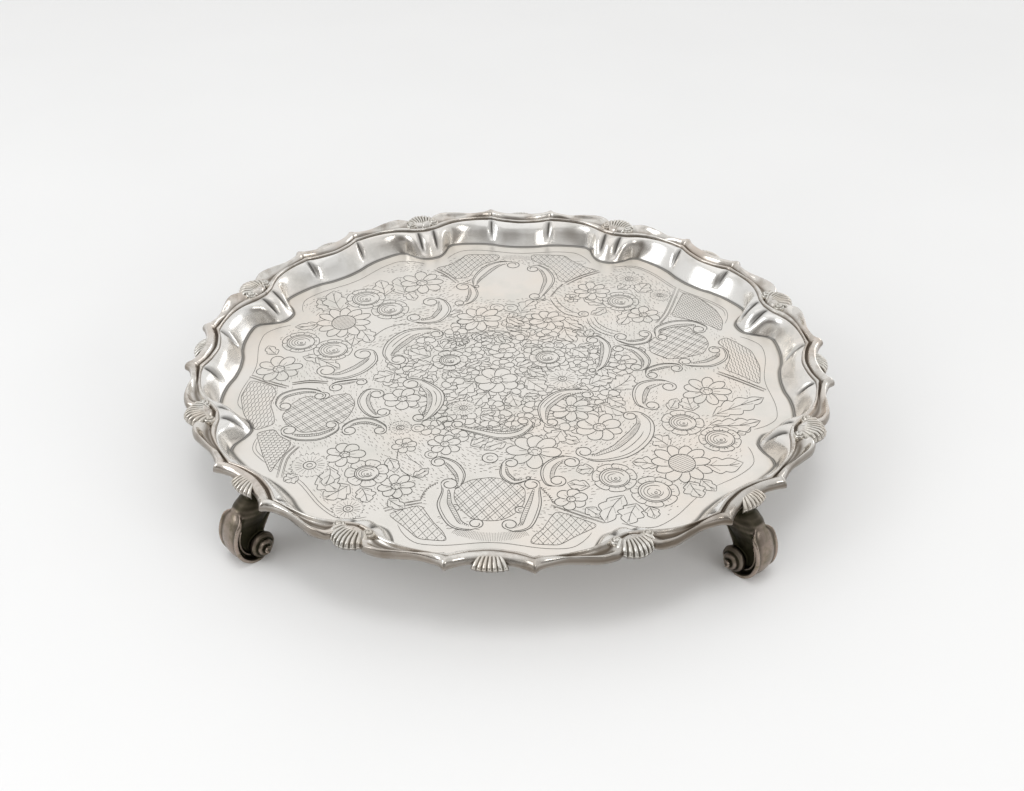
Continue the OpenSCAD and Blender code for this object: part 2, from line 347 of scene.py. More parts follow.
def build_plate():
    per_unit = 96
    angles = np.arange(UNITS * per_unit) * UNIT_A / per_unit
    share = np.linspace(.012, .95, 38)
    from_edge = np.array([5.5, 4.2, 3.2, 2.5, 2.0, 1.6, 1.25, .95, .65, .35])
    wall = np.concatenate([np.linspace(0, .12, 7), np.linspace(.15, 1, 26)])
    A, S = np.meshgrid(angles, share, indexing="ij")
    r0 = wave(WELL_EDGE, A[:, :1])
    floor_r = np.concatenate([S * r0, r0 - from_edge[None, :]], 1)
    # a shallow groove where the floor meets the wall
    edge = r0 - floor_r
    floor_z = WELL_Z - .5 * bell(edge - .9, .65)
    floor_n = floor_r.shape[1]
    Aw, Sw = np.meshgrid(angles, wall, indexing="ij")
    wall_r, wall_z = wall_point(Aw, Sw)
    rim = wave(RIM_INNER, angles)
    outer = rim + FLANGE_SHARE * (wave(RIM_OUTER, angles) - rim)
    flange_r = np.stack([rim + .6, outer], 1)
    flange_z = np.full_like(flange_r, FLANGE_Z)
    under_r, under_z = wall_point(*np.meshgrid(angles, np.linspace(1, 0, 12), indexing="ij"))
    under_floor_r = np.array([.985, .9, .75, .5, .25, .035])[None, :] * r0
    m = len(angles)
    r = np.concatenate([floor_r, wall_r, flange_r, outer[:, None], under_r + UNDER_OUT, under_floor_r], 1)
    z = np.concatenate([floor_z, wall_z, flange_z, np.full((m, 1), FLANGE_Z - SHEET_T), under_z - UNDER_DOWN,
                        np.full(under_floor_r.shape, WELL_Z - SHEET_T)], 1)
    pts = polar(r, angles[:, None], z)
    n = r.shape[1]
    x, y = pts[..., 0], pts[..., 1]
    top = slice(0, floor_n)
    pts[:, top, 2] += ripple(x[:, top], y[:, top])
    pts = pts.reshape(-1, 3)
    faces = grid_faces(m, n, True, False, flip=True).tolist()
    top_c, under_c = len(pts), len(pts) + 1
    pts = np.vstack([pts, [[0, 0, WELL_Z + ripple(0, 0)], [0, 0, WELL_Z - SHEET_T]]])
    faces += [[top_c, i * n, ((i + 1) % m) * n] for i in range(m)]
    faces += [[under_c, ((i + 1) % m) * n + n - 1, i * n + n - 1] for i in range(m)]
    tarnish_and_shade = np.zeros((m, n))
    k = floor_n
    # the groove where the floor meets the wall is darkened: tarnish and painted shade
    tarnish_and_shade[:, :k] = .95 * bell(edge - .75, .6)
    # the creases and the foot of the wall are darkened: tarnish and painted shade
    a = fold(Aw)
    along = arch((Sw - .2) / .8) ** .6
    crease = 1.2 * bell(a - CUSP_A, .42) * along + 1.5 * bell(a - TWIN_A, .46) * along
    low = .9 * bell(Sw, .035)
    tarnish_and_shade[:, k:k + len(wall)] = np.clip(crease + low, 0, 1)
    # the underside is darker throughout
    tarnish_and_shade[:, k + len(wall) + 1:] = .35
    kind = np.zeros((m, n - 1), int)
    kind[:, k - 1:k + len(wall) + 2] = 1
    kind = np.concatenate([kind.ravel(), np.zeros(2 * m, int)])
    plate = make_object("salver_plate", pts, faces, [FLOOR_SILVER, WALL_SILVER], kind)
    add_attribute(plate, "tarnish_and_shade", np.append(tarnish_and_shade.reshape(-1), [0, .35]))
    return plate


plate = build_plate()
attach(plate, "root")
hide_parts("tray_plate")

# ---------------------------------------------------------------- the cast border
SECTION_U = [0, .03, .07, .12, .17, .21, .25, .29, .33, .38, .45, .54, .63, .72, .80, .87, .93, .97, 1]
ROLL_H = [0, .22, .38, .44, .40, .28, .14, .10, .22, .46, .74, .94, 1, .97, .88, .74, .54, .34, .12]
HOLLOW_H = [0, .26, .46, .56, .58, .50, .30, .14, .06, .02, .02, .08, .24, .50, .80, 1.0, 1.0, .82, .35]


def hollow_share(a):
    """How far the hollow is open: not at all near the cusps, then in full, then closed at a large shell."""
    return smooth((a - 8.0) / 7.0) * (1 - .85 * smooth((a - 17.6) / 2.6))


def border_top(angle, u):
    """The casting's height above the flange, in mm, at share u of its width."""
    t = hollow_share(fold(angle))
    roll = hermite(SECTION_U, ROLL_H, u)
    hollow = hermite(SECTION_U, HOLLOW_H, u)
    return MOULDING_H * (roll + (hollow - roll) * t)


def build_border(i):
    step = UNIT_A / 180
    angles = np.arange(-HALF_A, HALF_A + step / 2, step)
    u = np.unique(np.concatenate([np.linspace(0, .36, 22), np.linspace(.36, 1, 26)]))
    A, U = np.meshgrid(angles, u, indexing="ij")
    r1, r2 = wave(RIM_INNER, A), wave(RIM_OUTER, A)
    w = r2 - r1
    r = r1 + U * w
    z = FLANGE_Z + border_top(A, U)
    a = fold(A)
    # the cusps rise a little to a mitred point
    z = z + .45 * bell(a - CUSP_A, .9) * smooth(U / .4)
    inside_r, outside_r, width = r1[:, 0], r2[:, 0], w[:, 0]
    lip = np.stack([outside_r + .1, outside_r - .05 * width, outside_r - .12 * width,
                    inside_r + .80 * width, inside_r + .4 * width], 1)
    lip_z = FLANGE_Z + np.array([-.5, -1.15, -LIP_DROP, -LIP_DROP + .2, -.4])[None, :] + 0 * lip
    R = np.concatenate([r, lip], 1)
    Z = np.concatenate([z, lip_z], 1)
    pts = polar(R, angles[:, None], Z)
    n = R.shape[1]
    faces = grid_faces(len(angles), n, False, True, flip=True).tolist()
    last = (len(angles) - 1) * n
    faces.append(list(range(n)))
    faces.append([last + k for k in range(n - 1, -1, -1)])
    t = hollow_share(a)
    # the groove between the rolls and the casting's edges are darkened: tarnish and painted shade
    groove = 1.2 * bell(U - .28, .08) * (1 - t) + .9 * bell(U - .42, .14) * t
    edges = .9 * bell(U, .045) + .75 * bell(1 - U, .07)
    # towards the salver's front, and more so towards its right, the casting is darkened: painted shade
    x, y = (r * f(np.radians(A + i * UNIT_A)) for f in (np.cos, np.sin))
    front = smooth((-y - 60) / 90) * (.05 + .32 * smooth(x / 140 + .2))
    # the lip beneath is darker throughout
    tarnish_and_shade = np.concatenate([np.clip(groove + edges + front, 0, 1), np.full(lip.shape, .6)], 1).reshape(-1)
    obj = make_object(f"cast_border_{i + 1}", turned(pts.reshape(-1, 3), i * UNIT_A), faces, [CAST_SILVER])
    add_attribute(obj, "tarnish_and_shade", tarnish_and_shade)
    return obj


for i in range(UNITS):
    piece = build_border(i)
    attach(piece, "root")
    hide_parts(f"border_casting_{i + 1}")


# ---------------------------------------------------------------- the shells
def shell_curl(x, y, side):
    """A small domed volute by a large shell's root: (points, faces, tarnish and painted shade in its
    groove).
    """
    rows, cols, size = 16, 36, 3.1
    u = np.linspace(.03, 1, rows)[:, None]
    th = circle(cols)[None, :]
    rad = size * np.sin(u * np.pi / 2) ** .9
    turns = rad / size * 2.0 - side * th / (2 * np.pi)
    groove = (.5 + .5 * np.cos(2 * np.pi * turns)) ** 2
    groove = groove * smooth((rad - .25) / .5) * smooth((3.0 - rad) / .5)
    z = FLANGE_Z + .6 + 3.3 * np.cos(u * np.pi / 2) ** .7 + 0 * th - .55 * groove
    z[-1] = FLANGE_Z - .3
    pts = np.stack([x + rad * np.cos(th) + 0 * z, y + rad * np.sin(th) + 0 * z, z], -1).reshape(-1, 3)
    faces = grid_faces(rows, cols, False, True).tolist()
    faces += [list(range(cols)), [(rows - 1) * cols + k for k in range(cols)]]
    return pts, faces, np.clip(.1 + .8 * groove + 0 * z, 0, 1).reshape(-1)


def build_shell(name, angle, flutes, inner, outer, half_base, half_tip, line, side_short, droop,
                flute_up, flute_down, thick, fluted_from, curls):
    """A scallop: flutes fan out from the root and end in rounded tips."""
    per = 10
    t = np.linspace(-1, 1, flutes * per + 1)
    s = np.concatenate([np.linspace(0, .85, 30), np.linspace(.87, 1, 12)])
    S, T = np.meshgrid(s, t, indexing="ij")
    phase = (T + 1) / 2 * flutes
    within = phase - np.floor(np.minimum(phase, flutes - 1e-6))
    ridge = np.sin(np.pi * within)                    # 1 on a flute, 0 in a valley
    tip = .10 * (1 - np.sqrt(np.clip(ridge, 0, 1)))   # tips are rounded, with a nick at each valley
    reach = S * (1 - tip * smooth((S - .7) / .3)) * (1 - side_short * T**2)
    x = inner + (outer - inner) * reach
    y = T * (half_base + (half_tip - half_base) * S**.8)
    ls, lz = zip(*line)
    depth = smooth((S - fluted_from) / .35)
    z = FLANGE_Z + hermite(ls, lz, S, None, None) - droop * T**2 * S
    z = z + depth * (flute_up * ridge**.8 - flute_down * (1 - ridge) ** 2)
    z = z - .7 * smooth((S - .93) / .07) * (1 - .3 * ridge)
    under_z = np.maximum(z - thick, FLANGE_Z - 2.6)
    top = np.stack([x, y, z], -1).reshape(-1, 3)
    under = np.stack([x - .25 * smooth((S - .9) / .1), y * .96, under_z], -1).reshape(-1, 3)
    rows, cols = S.shape
    m = rows * cols
    faces = grid_faces(rows, cols).tolist() + grid_faces(rows, cols, first=m, flip=True).tolist()
    for j in range(cols - 1):
        faces.append([j + 1, j, m + j, m + j + 1])
        e = (rows - 1) * cols + j
        faces.append([e, e + 1, m + e + 1, m + e])
    for k in range(rows - 1):
        e = k * cols
        faces.append([e, e + cols, m + e + cols, m + e])
        e = k * cols + cols - 1
        faces.append([e + cols, e, m + e, m + e + cols])
    pts = np.vstack([top, under])
    # the valleys between the flutes are darkened: tarnish and painted shade; the underside is darker
    # throughout
    tarnish_and_shade = np.concatenate([np.clip(.08 + depth * (1 - ridge) ** 1.3, 0, 1).reshape(-1), np.full(m, .6)])
    if curls:
        for side in (1, -1):
            curl_pts, curl_faces, curl_tarnish_and_shade = shell_curl(inner + 2.6, side * (half_base + 4.0), side)
            faces += [[len(pts) + k for k in f] for f in curl_faces]
            pts = np.vstack([pts, curl_pts])
            tarnish_and_shade = np.concatenate([tarnish_and_shade, curl_tarnish_and_shade])
    obj = make_object(name, turned(pts, angle), faces, [SHELL_SILVER])
    add_attribute(obj, "tarnish_and_shade", tarnish_and_shade)
    return obj


# a shell's height above the flange, from its root to its tips
LARGE_LINE = [(0, .4), (.2, 2.5), (.45, 3.6), (.7, 3.7), (.88, 2.8), (1, 1.2)]
SMALL_LINE = [(0, 1.6), (.3, 2.8), (.6, 2.3), (.8, 1.4), (1, .2)]
for i in range(UNITS):
    large = build_shell(f"large_scallop_{i + 1}", (i + .5) * UNIT_A, flutes=9, inner=.908 * RIM_R,
                        outer=.989 * RIM_R, half_base=3.4, half_tip=10.6, line=LARGE_LINE, side_short=.50,
                        droop=.8, flute_up=.5, flute_down=.7, thick=1.4, fluted_from=.06, curls=True)
    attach(large, "root")
    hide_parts(f"large_shell_{i + 1}")
    small = build_shell(f"small_scallop_{i + 1}", i * UNIT_A, flutes=7, inner=.930 * RIM_R,
                        outer=.978 * RIM_R, half_base=3.2, half_tip=8.4, line=SMALL_LINE, side_short=.26,
                        droop=.7, flute_up=.4, flute_down=.45, thick=1.2, fluted_from=0, curls=False)
    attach(small, "root")
    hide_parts(f"small_shell_{i + 1}")

# ---------------------------------------------------------------- the feet
FOOT_REACH = 165.4          # the centre of a foot's volute, from the middle of the salver
VOLUTE_Z = 6.65
SPIRAL_R0 = 7.56            # the spiral's radius at its lowest point, in mm
SPIRAL_LOW = -65.9          # the angle of that point
SPIRAL_GROWTH = .0080       # per degree
BAND_W = 15.2
BAND_FROM, TONGUE_FROM = -150, 57


def spiral_r(a):
    return SPIRAL_R0 * np.exp(SPIRAL_GROWTH * (a - SPIRAL_LOW))


def loft(sections):
    """A closed mesh through rings of equally many points: (points, faces)."""
    rows, n = len(sections), len(sections[0])
    pts = np.vstack(sections)
    faces = grid_faces(rows, n, False, True).tolist()
    faces.append(list(range(n - 1, -1, -1)))
    faces.append([(rows - 1) * n + k for k in range(n)])
    return pts, faces


def foot_band():
    """The scrolled band with a raised rim down each side, ending at the shoulder in a rounded tongue."""
    # half of its section, as [share of its width, height]
    half = [(.5, -1.5), (.5, -.3), (.48, .25), (.44, .5), (.40, .3), (.365, -.2), (.31, -.1), (.22, .45),
            (.12, .8)]
    shape = [(-u, d) for u, d in half] + [(0, .9)] + half[::-1] + [(.3, -2.6), (-.3, -2.6)]
    sections = []
    for a in np.concatenate([np.arange(BAND_FROM, 56, 5), np.arange(TONGUE_FROM, 71.5, 1.2)]):
        over = max(0, (a - TONGUE_FROM) / 14.6)
        w = BAND_W * math.sqrt(max(.015, 1 - over * over)) * (1 - .18 * smooth((-60 - a) / 80.0))
        r = spiral_r(a)
        c, s = heading(a)
        lift = .5 * smooth((a - 10) / 40.0)
        sections.append(np.array([((r + d + lift) * c, u * w, VOLUTE_Z + (r + d + lift) * s)
                                  for u, d in shape]))
    return loft(sections)


def foot_tube(side):
    """A thin rib that follows the band inside its rim."""
    thick, inset, out = .75, 3.9, 4.6
    th = circle(8)
    sections = []
    for a in np.arange(-140, 56, 5.0):
        c, s = heading(a)
        rad = spiral_r(a) - inset + thick * np.cos(th)
        sections.append(np.stack([rad * c, side * out + thick * np.sin(th), VOLUTE_Z + rad * s], 1))
    return loft(sections)


def foot_web():
    """The hollowed cheek behind the band, from the volute to the neck."""
    inset, half_w = 1.4, 3.5
    front = []
    for a in np.arange(BAND_FROM, 66, 6.0):
        c, s = heading(a)
        front.append(((spiral_r(a) - inset) * c, VOLUTE_Z + (spiral_r(a) - inset) * s))
    back = [(0, 31), (-9, 30), (-11.5, 26), (-7.0, 19), (-3.6, 13), (-3.6, 6)]
    x, z = np.array(front + back).T
    return loft([np.stack([x, np.full(len(x), y), z], 1) for y in (half_w, -half_w)])


def foot_neck():
    """The trumpet that flares up to the underside of the border."""
    # its height, inner and outer edge from the volute's centre, and width
    rows = [(7, -4.0, 7.5, 6.4), (12, -3.4, 9.4, 6.8), (16, -4.6, 10.4, 7.8), (20, -7.0, 11.0, 9.6),
            (24, -9.8, 10.6, 12.8), (27, -12.2, 9.9, 14.6), (29.5, -14.0, 8.3, 14.8),
            (31.8, -15.6, 5.6, 13.8), (33.8, -17.0, 2.4, 12.2), (35.8, -18.2, .3, 11.4),
            (38, -19.4, -.4, 14.0), (41, -21.0, -.4, 19.0)]
    c, s = np.cos(circle(40)), np.sin(circle(40))
    sections = []
    for z, x0, x1, w in rows:
        x = (x0 + x1) / 2 + (x1 - x0) / 2 * c
        sections.append(np.stack([x, w / 2 * np.sign(s) * np.abs(s) ** .9, np.full(len(c), float(z))], 1))
    return loft(sections)


def foot_whorl(side):
    """A snail's whorl of a little over three turns, drawn out sideways to a point."""
    th = circle(10)
    sections = []
    for t in np.linspace(0, 1, 120):
        a = math.radians(-120 - 1150 * t)
        rho = 7.0 * (1 - t) ** 1.1 + .3
        tube = .29 * rho + .45
        y = 3.6 + 9.0 * t ** .9
        rad = rho - tube * .7 + tube * np.cos(th)
        sections.append(np.stack([rad * math.cos(a), side * (y + tube * np.sin(th)),
                                  VOLUTE_Z + rad * math.sin(a)], 1))
    return loft(sections)


def foot_core(side):
    """The plain cone inside a whorl, from [distance out, radius] rows."""
    rows = [(0, 6.0), (2.6, 5.6), (4.4, 4.2), (6.4, 3.0), (8.4, 2.0), (10.4, 1.0), (11.6, .3)]
    th = circle(32)
    return loft([np.stack([r * np.cos(th), np.full(len(th), side * float(y)), VOLUTE_Z + r * np.sin(th)], 1)
                 for y, r in rows])


def read(items, name, width, kind=float):
    """One property of all of a mesh's points or edges, as an array."""
    values = np.empty(len(items) * width, dtype=kind)
    items.foreach_get(name, values)
    return values.reshape(-1, width)


def build_foot():
    """One foot at 0 degrees: (points in mm, faces, tarnish and painted shade)."""
    parts = [foot_band(), foot_web(), foot_neck(), foot_tube(1), foot_tube(-1)]
    parts += [f(side) for side in (1, -1) for f in (foot_whorl, foot_core)]
    pts, faces, base = [], [], 0
    for p, f in parts:
        pts.append(p)
        faces += [[base + k for k in g] for g in f]
        base += len(p)
    raw = make_object("foot_raw", np.vstack(pts), faces, [])
    rm = raw.modifiers.new("voxels", "REMESH")
    rm.mode = "VOXEL"
    rm.voxel_size = .34 * MM
    dg = bpy.context.evaluated_depsgraph_get()
    mesh = bpy.data.meshes.new_from_object(raw.evaluated_get(dg))
    bpy.data.objects.remove(raw, do_unlink=True)
    co = read(mesh.vertices, "co", 3) / MM
    e = read(mesh.edges, "vertices", 2, np.int64)
    count = np.bincount(e.ravel(), minlength=len(co))[:, None]

    def neighbours(v):
        total = np.zeros_like(v)
        np.add.at(total, e[:, 0], v[e[:, 1]])
        np.add.at(total, e[:, 1], v[e[:, 0]])
        return total / np.maximum(count, 1)

    for _ in range(2):
        co = co + .4 * (neighbours(co) - co)
    mesh.vertices.foreach_set("co", (co * MM).ravel())
    mesh.update()
    # a point is in a hollow where the surface round it lies further out
    far = co
    for _ in range(10):
        far = neighbours(far)
    hollow = ((far - co) * read(mesh.vertices, "normal", 3)).sum(1)[:, None]
    for _ in range(2):
        hollow = neighbours(hollow)
    x, y, z = co.T
    # the band's face is rubbed bright; what lies behind it is darkened with tarnish and painted shade
    turn = np.degrees(np.arctan2(z - VOLUTE_Z, x))
    behind = smooth((spiral_r(turn) - .9 - np.hypot(x, z - VOLUTE_Z)) / .8)
    behind = np.maximum(behind, smooth((turn - 69) / 4))
    whorl = smooth((np.abs(y) - 5.5) / 2) * smooth((13 - z) / 2)
    # hollows are darkened with tarnish and painted shade
    tarnish_and_shade = np.clip(.32 + .70 * behind * (1 - .3 * whorl) + hollow[:, 0] * 3.6, 0, 1)
    # the neck under the sheet is darkened with tarnish and painted shade
    tarnish_and_shade = np.maximum(tarnish_and_shade, .9 * smooth((z - 27) / 6))
    # the top lies against the underside of the sheet, and the bottom on the table
    x = x + FOOT_REACH
    wall_r, wall_z = wall_point(np.zeros(24), np.linspace(0, 1, 24))
    roof = np.interp(np.hypot(x, y), wall_r + .75, wall_z - .75, left=WELL_Z - .5, right=FLANGE_Z - .5)
    faces = [list(p.vertices) for p in mesh.polygons]
    bpy.data.meshes.remove(mesh)
    return np.stack([x, y, np.clip(z, 0, roof)], 1), faces, tarnish_and_shade


foot_points, foot_faces, foot_tarnish_and_shade = build_foot()
for i in range(4):
    points = turned(foot_points, UNIT_A + 90 * i)
    foot = make_object(f"cast_foot_{i + 1}", points, foot_faces, [FOOT_SILVER])
    add_attribute(foot, "tarnish_and_shade", foot_tarnish_and_shade)
    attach(foot, "root")
    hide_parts(f"scroll_foot_{i + 1}")


# ---------------------------------------------------------------- the chased ornament
# Every motif draws strokes in mm on the floor of the well. A motif that is drawn first lies in
# front: it leaves masks behind, and later strokes stop at them.
RNG = random.Random(1760)
STROKES = {"flowers": [], "scrolls": [], "ground": []}
MASKS = []
FINE, MEDIUM, BOLD = .27, .37, .46


def inside(points, poly):
    """Which of the points lie inside a polygon."""
    x, y = points[:, 0][:, None], points[:, 1][:, None]
    x1, y1 = poly[:, 0][None], poly[:, 1][None]
    x2, y2 = np.roll(poly[:, 0], -1)[None], np.roll(poly[:, 1], -1)[None]
    dy = np.where(y2 == y1, 1e-9, y2 - y1)
    hit = ((y1 > y) != (y2 > y)) & (x < (x2 - x1) * (y - y1) / dy + x1)
    return hit.sum(1) % 2 == 1


def hidden(points):
    """Which of the points lie behind a motif that is already drawn."""
    out = np.zeros(len(points), bool)
    lo, hi = points.min(0), points.max(0)
    for poly, plo, phi in MASKS:
        if (lo > phi).any() or (hi < plo).any():
            continue
        out |= inside(points, poly)
    return out


def mask(points):
    """Hides whatever is drawn later inside this outline."""
    poly = np.asarray(points, float)
    MASKS.append((poly, poly.min(0), poly.max(0)))


def resample(points, step=.45):
    """The same line with points at an even step."""
    p = np.asarray(points, float)
    d = np.hypot(*np.diff(p, axis=0).T)
    t = np.concatenate([[0], np.cumsum(d)])
    if t[-1] < 1e-6:
        return p[:1]
    q = np.linspace(0, t[-1], max(2, int(math.ceil(t[-1] / step)) + 1))
    return np.stack([np.interp(q, t, p[:, 0]), np.interp(q, t, p[:, 1])], 1)


def simplify(p, tol=.035):
    """Drops the points that a straight stroke doesn't need."""
    keep = np.zeros(len(p), bool)
    keep[[0, -1]] = True
    stack = [(0, len(p) - 1)]
    while stack:
        a, b = stack.pop()
        if b <= a + 1:
            continue
        line = p[b] - p[a]
        length = math.hypot(*line) or 1e-9
        rel = p[a + 1:b] - p[a]
        away = np.abs(rel[:, 0] * line[1] - rel[:, 1] * line[0]) / length
        if length < 1e-6:
            away = np.hypot(*rel.T)
        k = int(away.argmax())
        if away[k] > tol:
            keep[a + 1 + k] = True
            stack += [(a, a + 1 + k), (a + 1 + k, b)]
    return p[keep]


def relax(p, times, closed=False):
    """The same line with its corners eased."""
    for _ in range(times):
        q = (np.roll(p, 1, 0) + 2 * p + np.roll(p, -1, 0)) / 4
        if not closed:
            q[0], q[-1] = p[0], p[-1]
        p = q
    return p


def rounded(region, times=8):
    """A polygon with rounded corners."""
    region = np.asarray(region, float)
    return relax(resample(np.vstack([region, region[:1]]), 1.0)[:-1], times, True)


def runs(flags):
    """The (start, stop) stretches where flags is true."""
    f = np.concatenate([[False], flags, [False]])
    change = np.flatnonzero(f[1:] != f[:-1])
    return list(zip(change[::2], change[1::2]))


def stroke(points, width=MEDIUM, kind="flowers", region=None):
    """Draws what shows of a line, and only what lies in the region if there is one."""
    p = resample(points)
    if len(p) < 2:
        return
    seen = ~hidden(p)
    if region is not None:
        seen &= inside(p, region)
    for a, b in runs(seen):
        if b - a >= 2:
            STROKES[kind].append((simplify(p[a:b]), width))


def spline(points, step=.6):
    """A smooth open curve through the points."""
    p = np.asarray(points, float)
    if len(p) < 3:
        return p
    q = np.vstack([2 * p[0] - p[1], p, 2 * p[-1] - p[-2]])
    out = []
    for i in range(1, len(q) - 2):
        a, b, c, d = q[i - 1:i + 3]
        n = max(4, int(math.hypot(*(c - b)) / step))
        for k in range(n):
            t = k / n
            out.append(.5 * (2 * b + (c - a) * t + (2 * a - 5 * b + 4 * c - d) * t**2
                             + (3 * b - a - 3 * c + d) * t**3))
    out.append(p[-1])
    return np.array(out)


def ring(x, y, r, start=0, sweep=360, squash=1, n=None):
    """A circle, an arc of one or an upright ellipse."""
    n = n or max(8, int(abs(sweep) / 360 * (8 + 3.2 * r)))
    a = np.radians(start + np.linspace(0, sweep, n + 1))
    return np.stack([x + r * np.cos(a), y + r * squash * np.sin(a)], 1)


def spoke(x, y, angle, r0, r1, kind="flowers"):
    """A straight cut that points at (x, y)."""
    c, s = heading(angle)
    stroke([(x + r0 * c, y + r0 * s), (x + r1 * c, y + r1 * s)], FINE, kind)


def sideways(p):
    """The direction across a line, to its left, at each of its points."""
    g = np.gradient(p, axis=0)
    return np.stack([-g[:, 1], g[:, 0]], 1) / np.maximum(np.hypot(*g.T), 1e-9)[:, None]


def place(points, x, y, turn):
    """Points drawn about the origin, turned and moved to (x, y)."""
    c, s = heading(turn)
    p = np.asarray(points, float)
    return np.stack([x + c * p[:, 0] - s * p[:, 1], y + s * p[:, 0] + c * p[:, 1]], 1)


def petal(length, width, point=0.0, blunt=.62):
    """A petal's outline along +x from the origin."""
    th = np.linspace(0, math.pi, 11)
    x = length * ((1 - np.cos(th)) / 2) ** blunt
    y = width / 2 * np.sin(th) * (1 - point * smooth((th - 1.9) / 1.1))
    return np.concatenate([np.stack([x, y], 1), np.stack([x, -y], 1)[::-1][1:]])


def jitter(amount):
    """A factor near 1."""
    return 1 + RNG.uniform(-amount, amount)


def flower(x, y, r, n=8, core=.26, turn=0, fat=1.0, point=.25, vein=True, squash=1, hatch=False):
    """Petals round a core, each in front of the next."""
    cr = core * r
    stroke(ring(x, y, cr, squash=squash), BOLD if r > 7 else MEDIUM)
    if hatch:
        for k in np.arange(-cr, cr, 1.15):
            h = math.sqrt(max(0, cr * cr - k * k)) * .92
            stroke(place([(-h, k * squash), (h, k * squash)], x, y, 35), FINE)
    else:
        stroke(ring(x, y, cr * .45, turn, 250), FINE)
        if r > 9:
            for k in range(7):
                spoke(x, y, k * 51 + turn, cr * .62, cr * .85)
    mask(ring(x, y, cr, squash=squash))
    width = fat * 2 * math.pi * r * .70 / n
    for k in range(n):
        a = turn + 360 / n * (k + RNG.uniform(-.1, .1))
        length = r * jitter(.07)
        out = place(petal(length, width * jitter(.1), point * .5), x, y, a)
        stroke(out, MEDIUM if r < 8 else BOLD * .9)
        if vein:
            spoke(x, y, a, cr * 1.15, length * RNG.uniform(.42, .58))
        mask(out)


def rose(x, y, inner, outer, turn):
    """A ringed heart with folded inner petals and a frill of lobes outside."""
    lobes = 7
    stroke(ring(x, y, inner, turn), BOLD)
    stroke(ring(x + .1, y - .1, inner * .86, turn + 30, 300), FINE + .05)
    for k, share in enumerate((.66, .48, .30)):
        stroke(ring(x + .25 * k, y - .3 * k, inner * share, turn + 65 * k, 235 + 12 * k, .92), FINE + .03)
    stroke(ring(x + .6, y - .8, inner * .09), MEDIUM)
    mask(ring(x, y, inner))
    mid = (inner + outer) / 2
    rad = outer - mid
    for k in range(lobes):
        a = turn + 360 / lobes * k
        c, s = heading(a)
        lobe = place(petal(outer - inner * .72, 2.1 * math.pi * mid / lobes, -.2, .7), x + inner * .72 * c,
                     y + inner * .72 * s, a)
        stroke(lobe, MEDIUM)
        for off in (-.25, .2):
            stroke(place([(inner + .3, off * rad * 2), (inner + rad * .9, off * rad * 2.4)], x, y, a), FINE)
        mask(lobe)


def aster(x, y, r, core=.3, rays=16):
    """A small heart in rings with rays that end in a broken frill."""
    stroke(ring(x, y, core * r), BOLD)
    stroke(ring(x, y, core * r * .45), MEDIUM)
    for k in range(rays):
        angle = 360 / rays * (k + RNG.uniform(-.12, .12))
        spoke(x, y, angle, core * r * 1.25, .74 * r)
        a, h, r1, r2 = math.radians(angle), math.pi / rays * .75, .86 * r, r * jitter(.06)
        stroke([(x + r1 * math.cos(a - h), y + r1 * math.sin(a - h)),
                (x + r2 * math.cos(a), y + r2 * math.sin(a)),
                (x + r1 * math.cos(a + h), y + r1 * math.sin(a + h))], FINE + .05)
    mask(ring(x, y, r * .95))


def leaf(x0, y0, x1, y1, width, lobes, bend=0.0):
    """A lobed leaf from its stalk to its tip, bent to one side."""
    dx, dy = x1 - x0, y1 - y0
    length = math.hypot(dx, dy) * 1.1
    width *= 1.3
    turn = math.degrees(math.atan2(dy, dx))

    def curve(t, side, grow):
        lobe = abs(math.sin(math.pi * lobes * t))
        half = width / 2 * math.sin(math.pi * min(1, t) ** .85) ** .8 * (.66 + .34 * lobe) * grow
        along = length * (t + .05 * lobe * (1 - t))
        return along, side * half + bend * length * math.sin(math.pi * t)

    ts = np.linspace(0, 1, 8 * lobes + 1)
    up = [curve(t, 1, 1) for t in ts]
    down = [curve(t, -1, 1) for t in ts]
    rib = [(length * t, bend * length * math.sin(math.pi * t)) for t in np.linspace(.04, .9, 9)]
    stroke(place(rib, x0, y0, turn), FINE + .06)
    for k in range(lobes):
        t = (k + .35) / lobes
        base = (length * t * .92, bend * length * math.sin(math.pi * t * .92))
        for side in (1, -1):
            end = curve(min(.97, t + .16), side, .62)
            stroke(place([base, end], x0, y0, turn), FINE)
    stroke(place(up, x0, y0, turn), MEDIUM)
    stroke(place(down, x0, y0, turn), MEDIUM)
    mask(place(up + down[::-1], x0, y0, turn))


def touch(c, r, p, heart):
    """Where a line from p touches the circle at c, on the side away from the heart."""
    c, p, heart = np.asarray(c, float), np.asarray(p, float), np.asarray(heart, float)
    d = p - c
    a, b = math.atan2(d[1], d[0]), math.acos(min(1, r / max(math.hypot(*d), r)))
    both = [c + r * np.array([math.cos(a + s * b), math.sin(a + s * b)]) for s in (1, -1)]
    return max(both, key=lambda q: np.hypot(*(q - heart)))


def volute(c, r, start, came_from):
    """A curl that goes on from the point start, in the direction of travel, and winds in."""
    c, start = np.asarray(c, float), np.asarray(start, float)
    rel, go = start - c, start - np.asarray(came_from, float)
    turn = 1 if rel[0] * go[1] - rel[1] * go[0] > 0 else -1
    a0 = math.degrees(math.atan2(rel[1], rel[0]))
    th = np.linspace(0, 455, 26)
    rad = r * np.where(th < 240, 1 - .06 * th / 240, .94 - .52 * (th - 240) / 215)
    a = np.radians(a0 + turn * th)
    return np.stack([c[0] + rad * np.cos(a), c[1] + rad * np.sin(a)], 1)


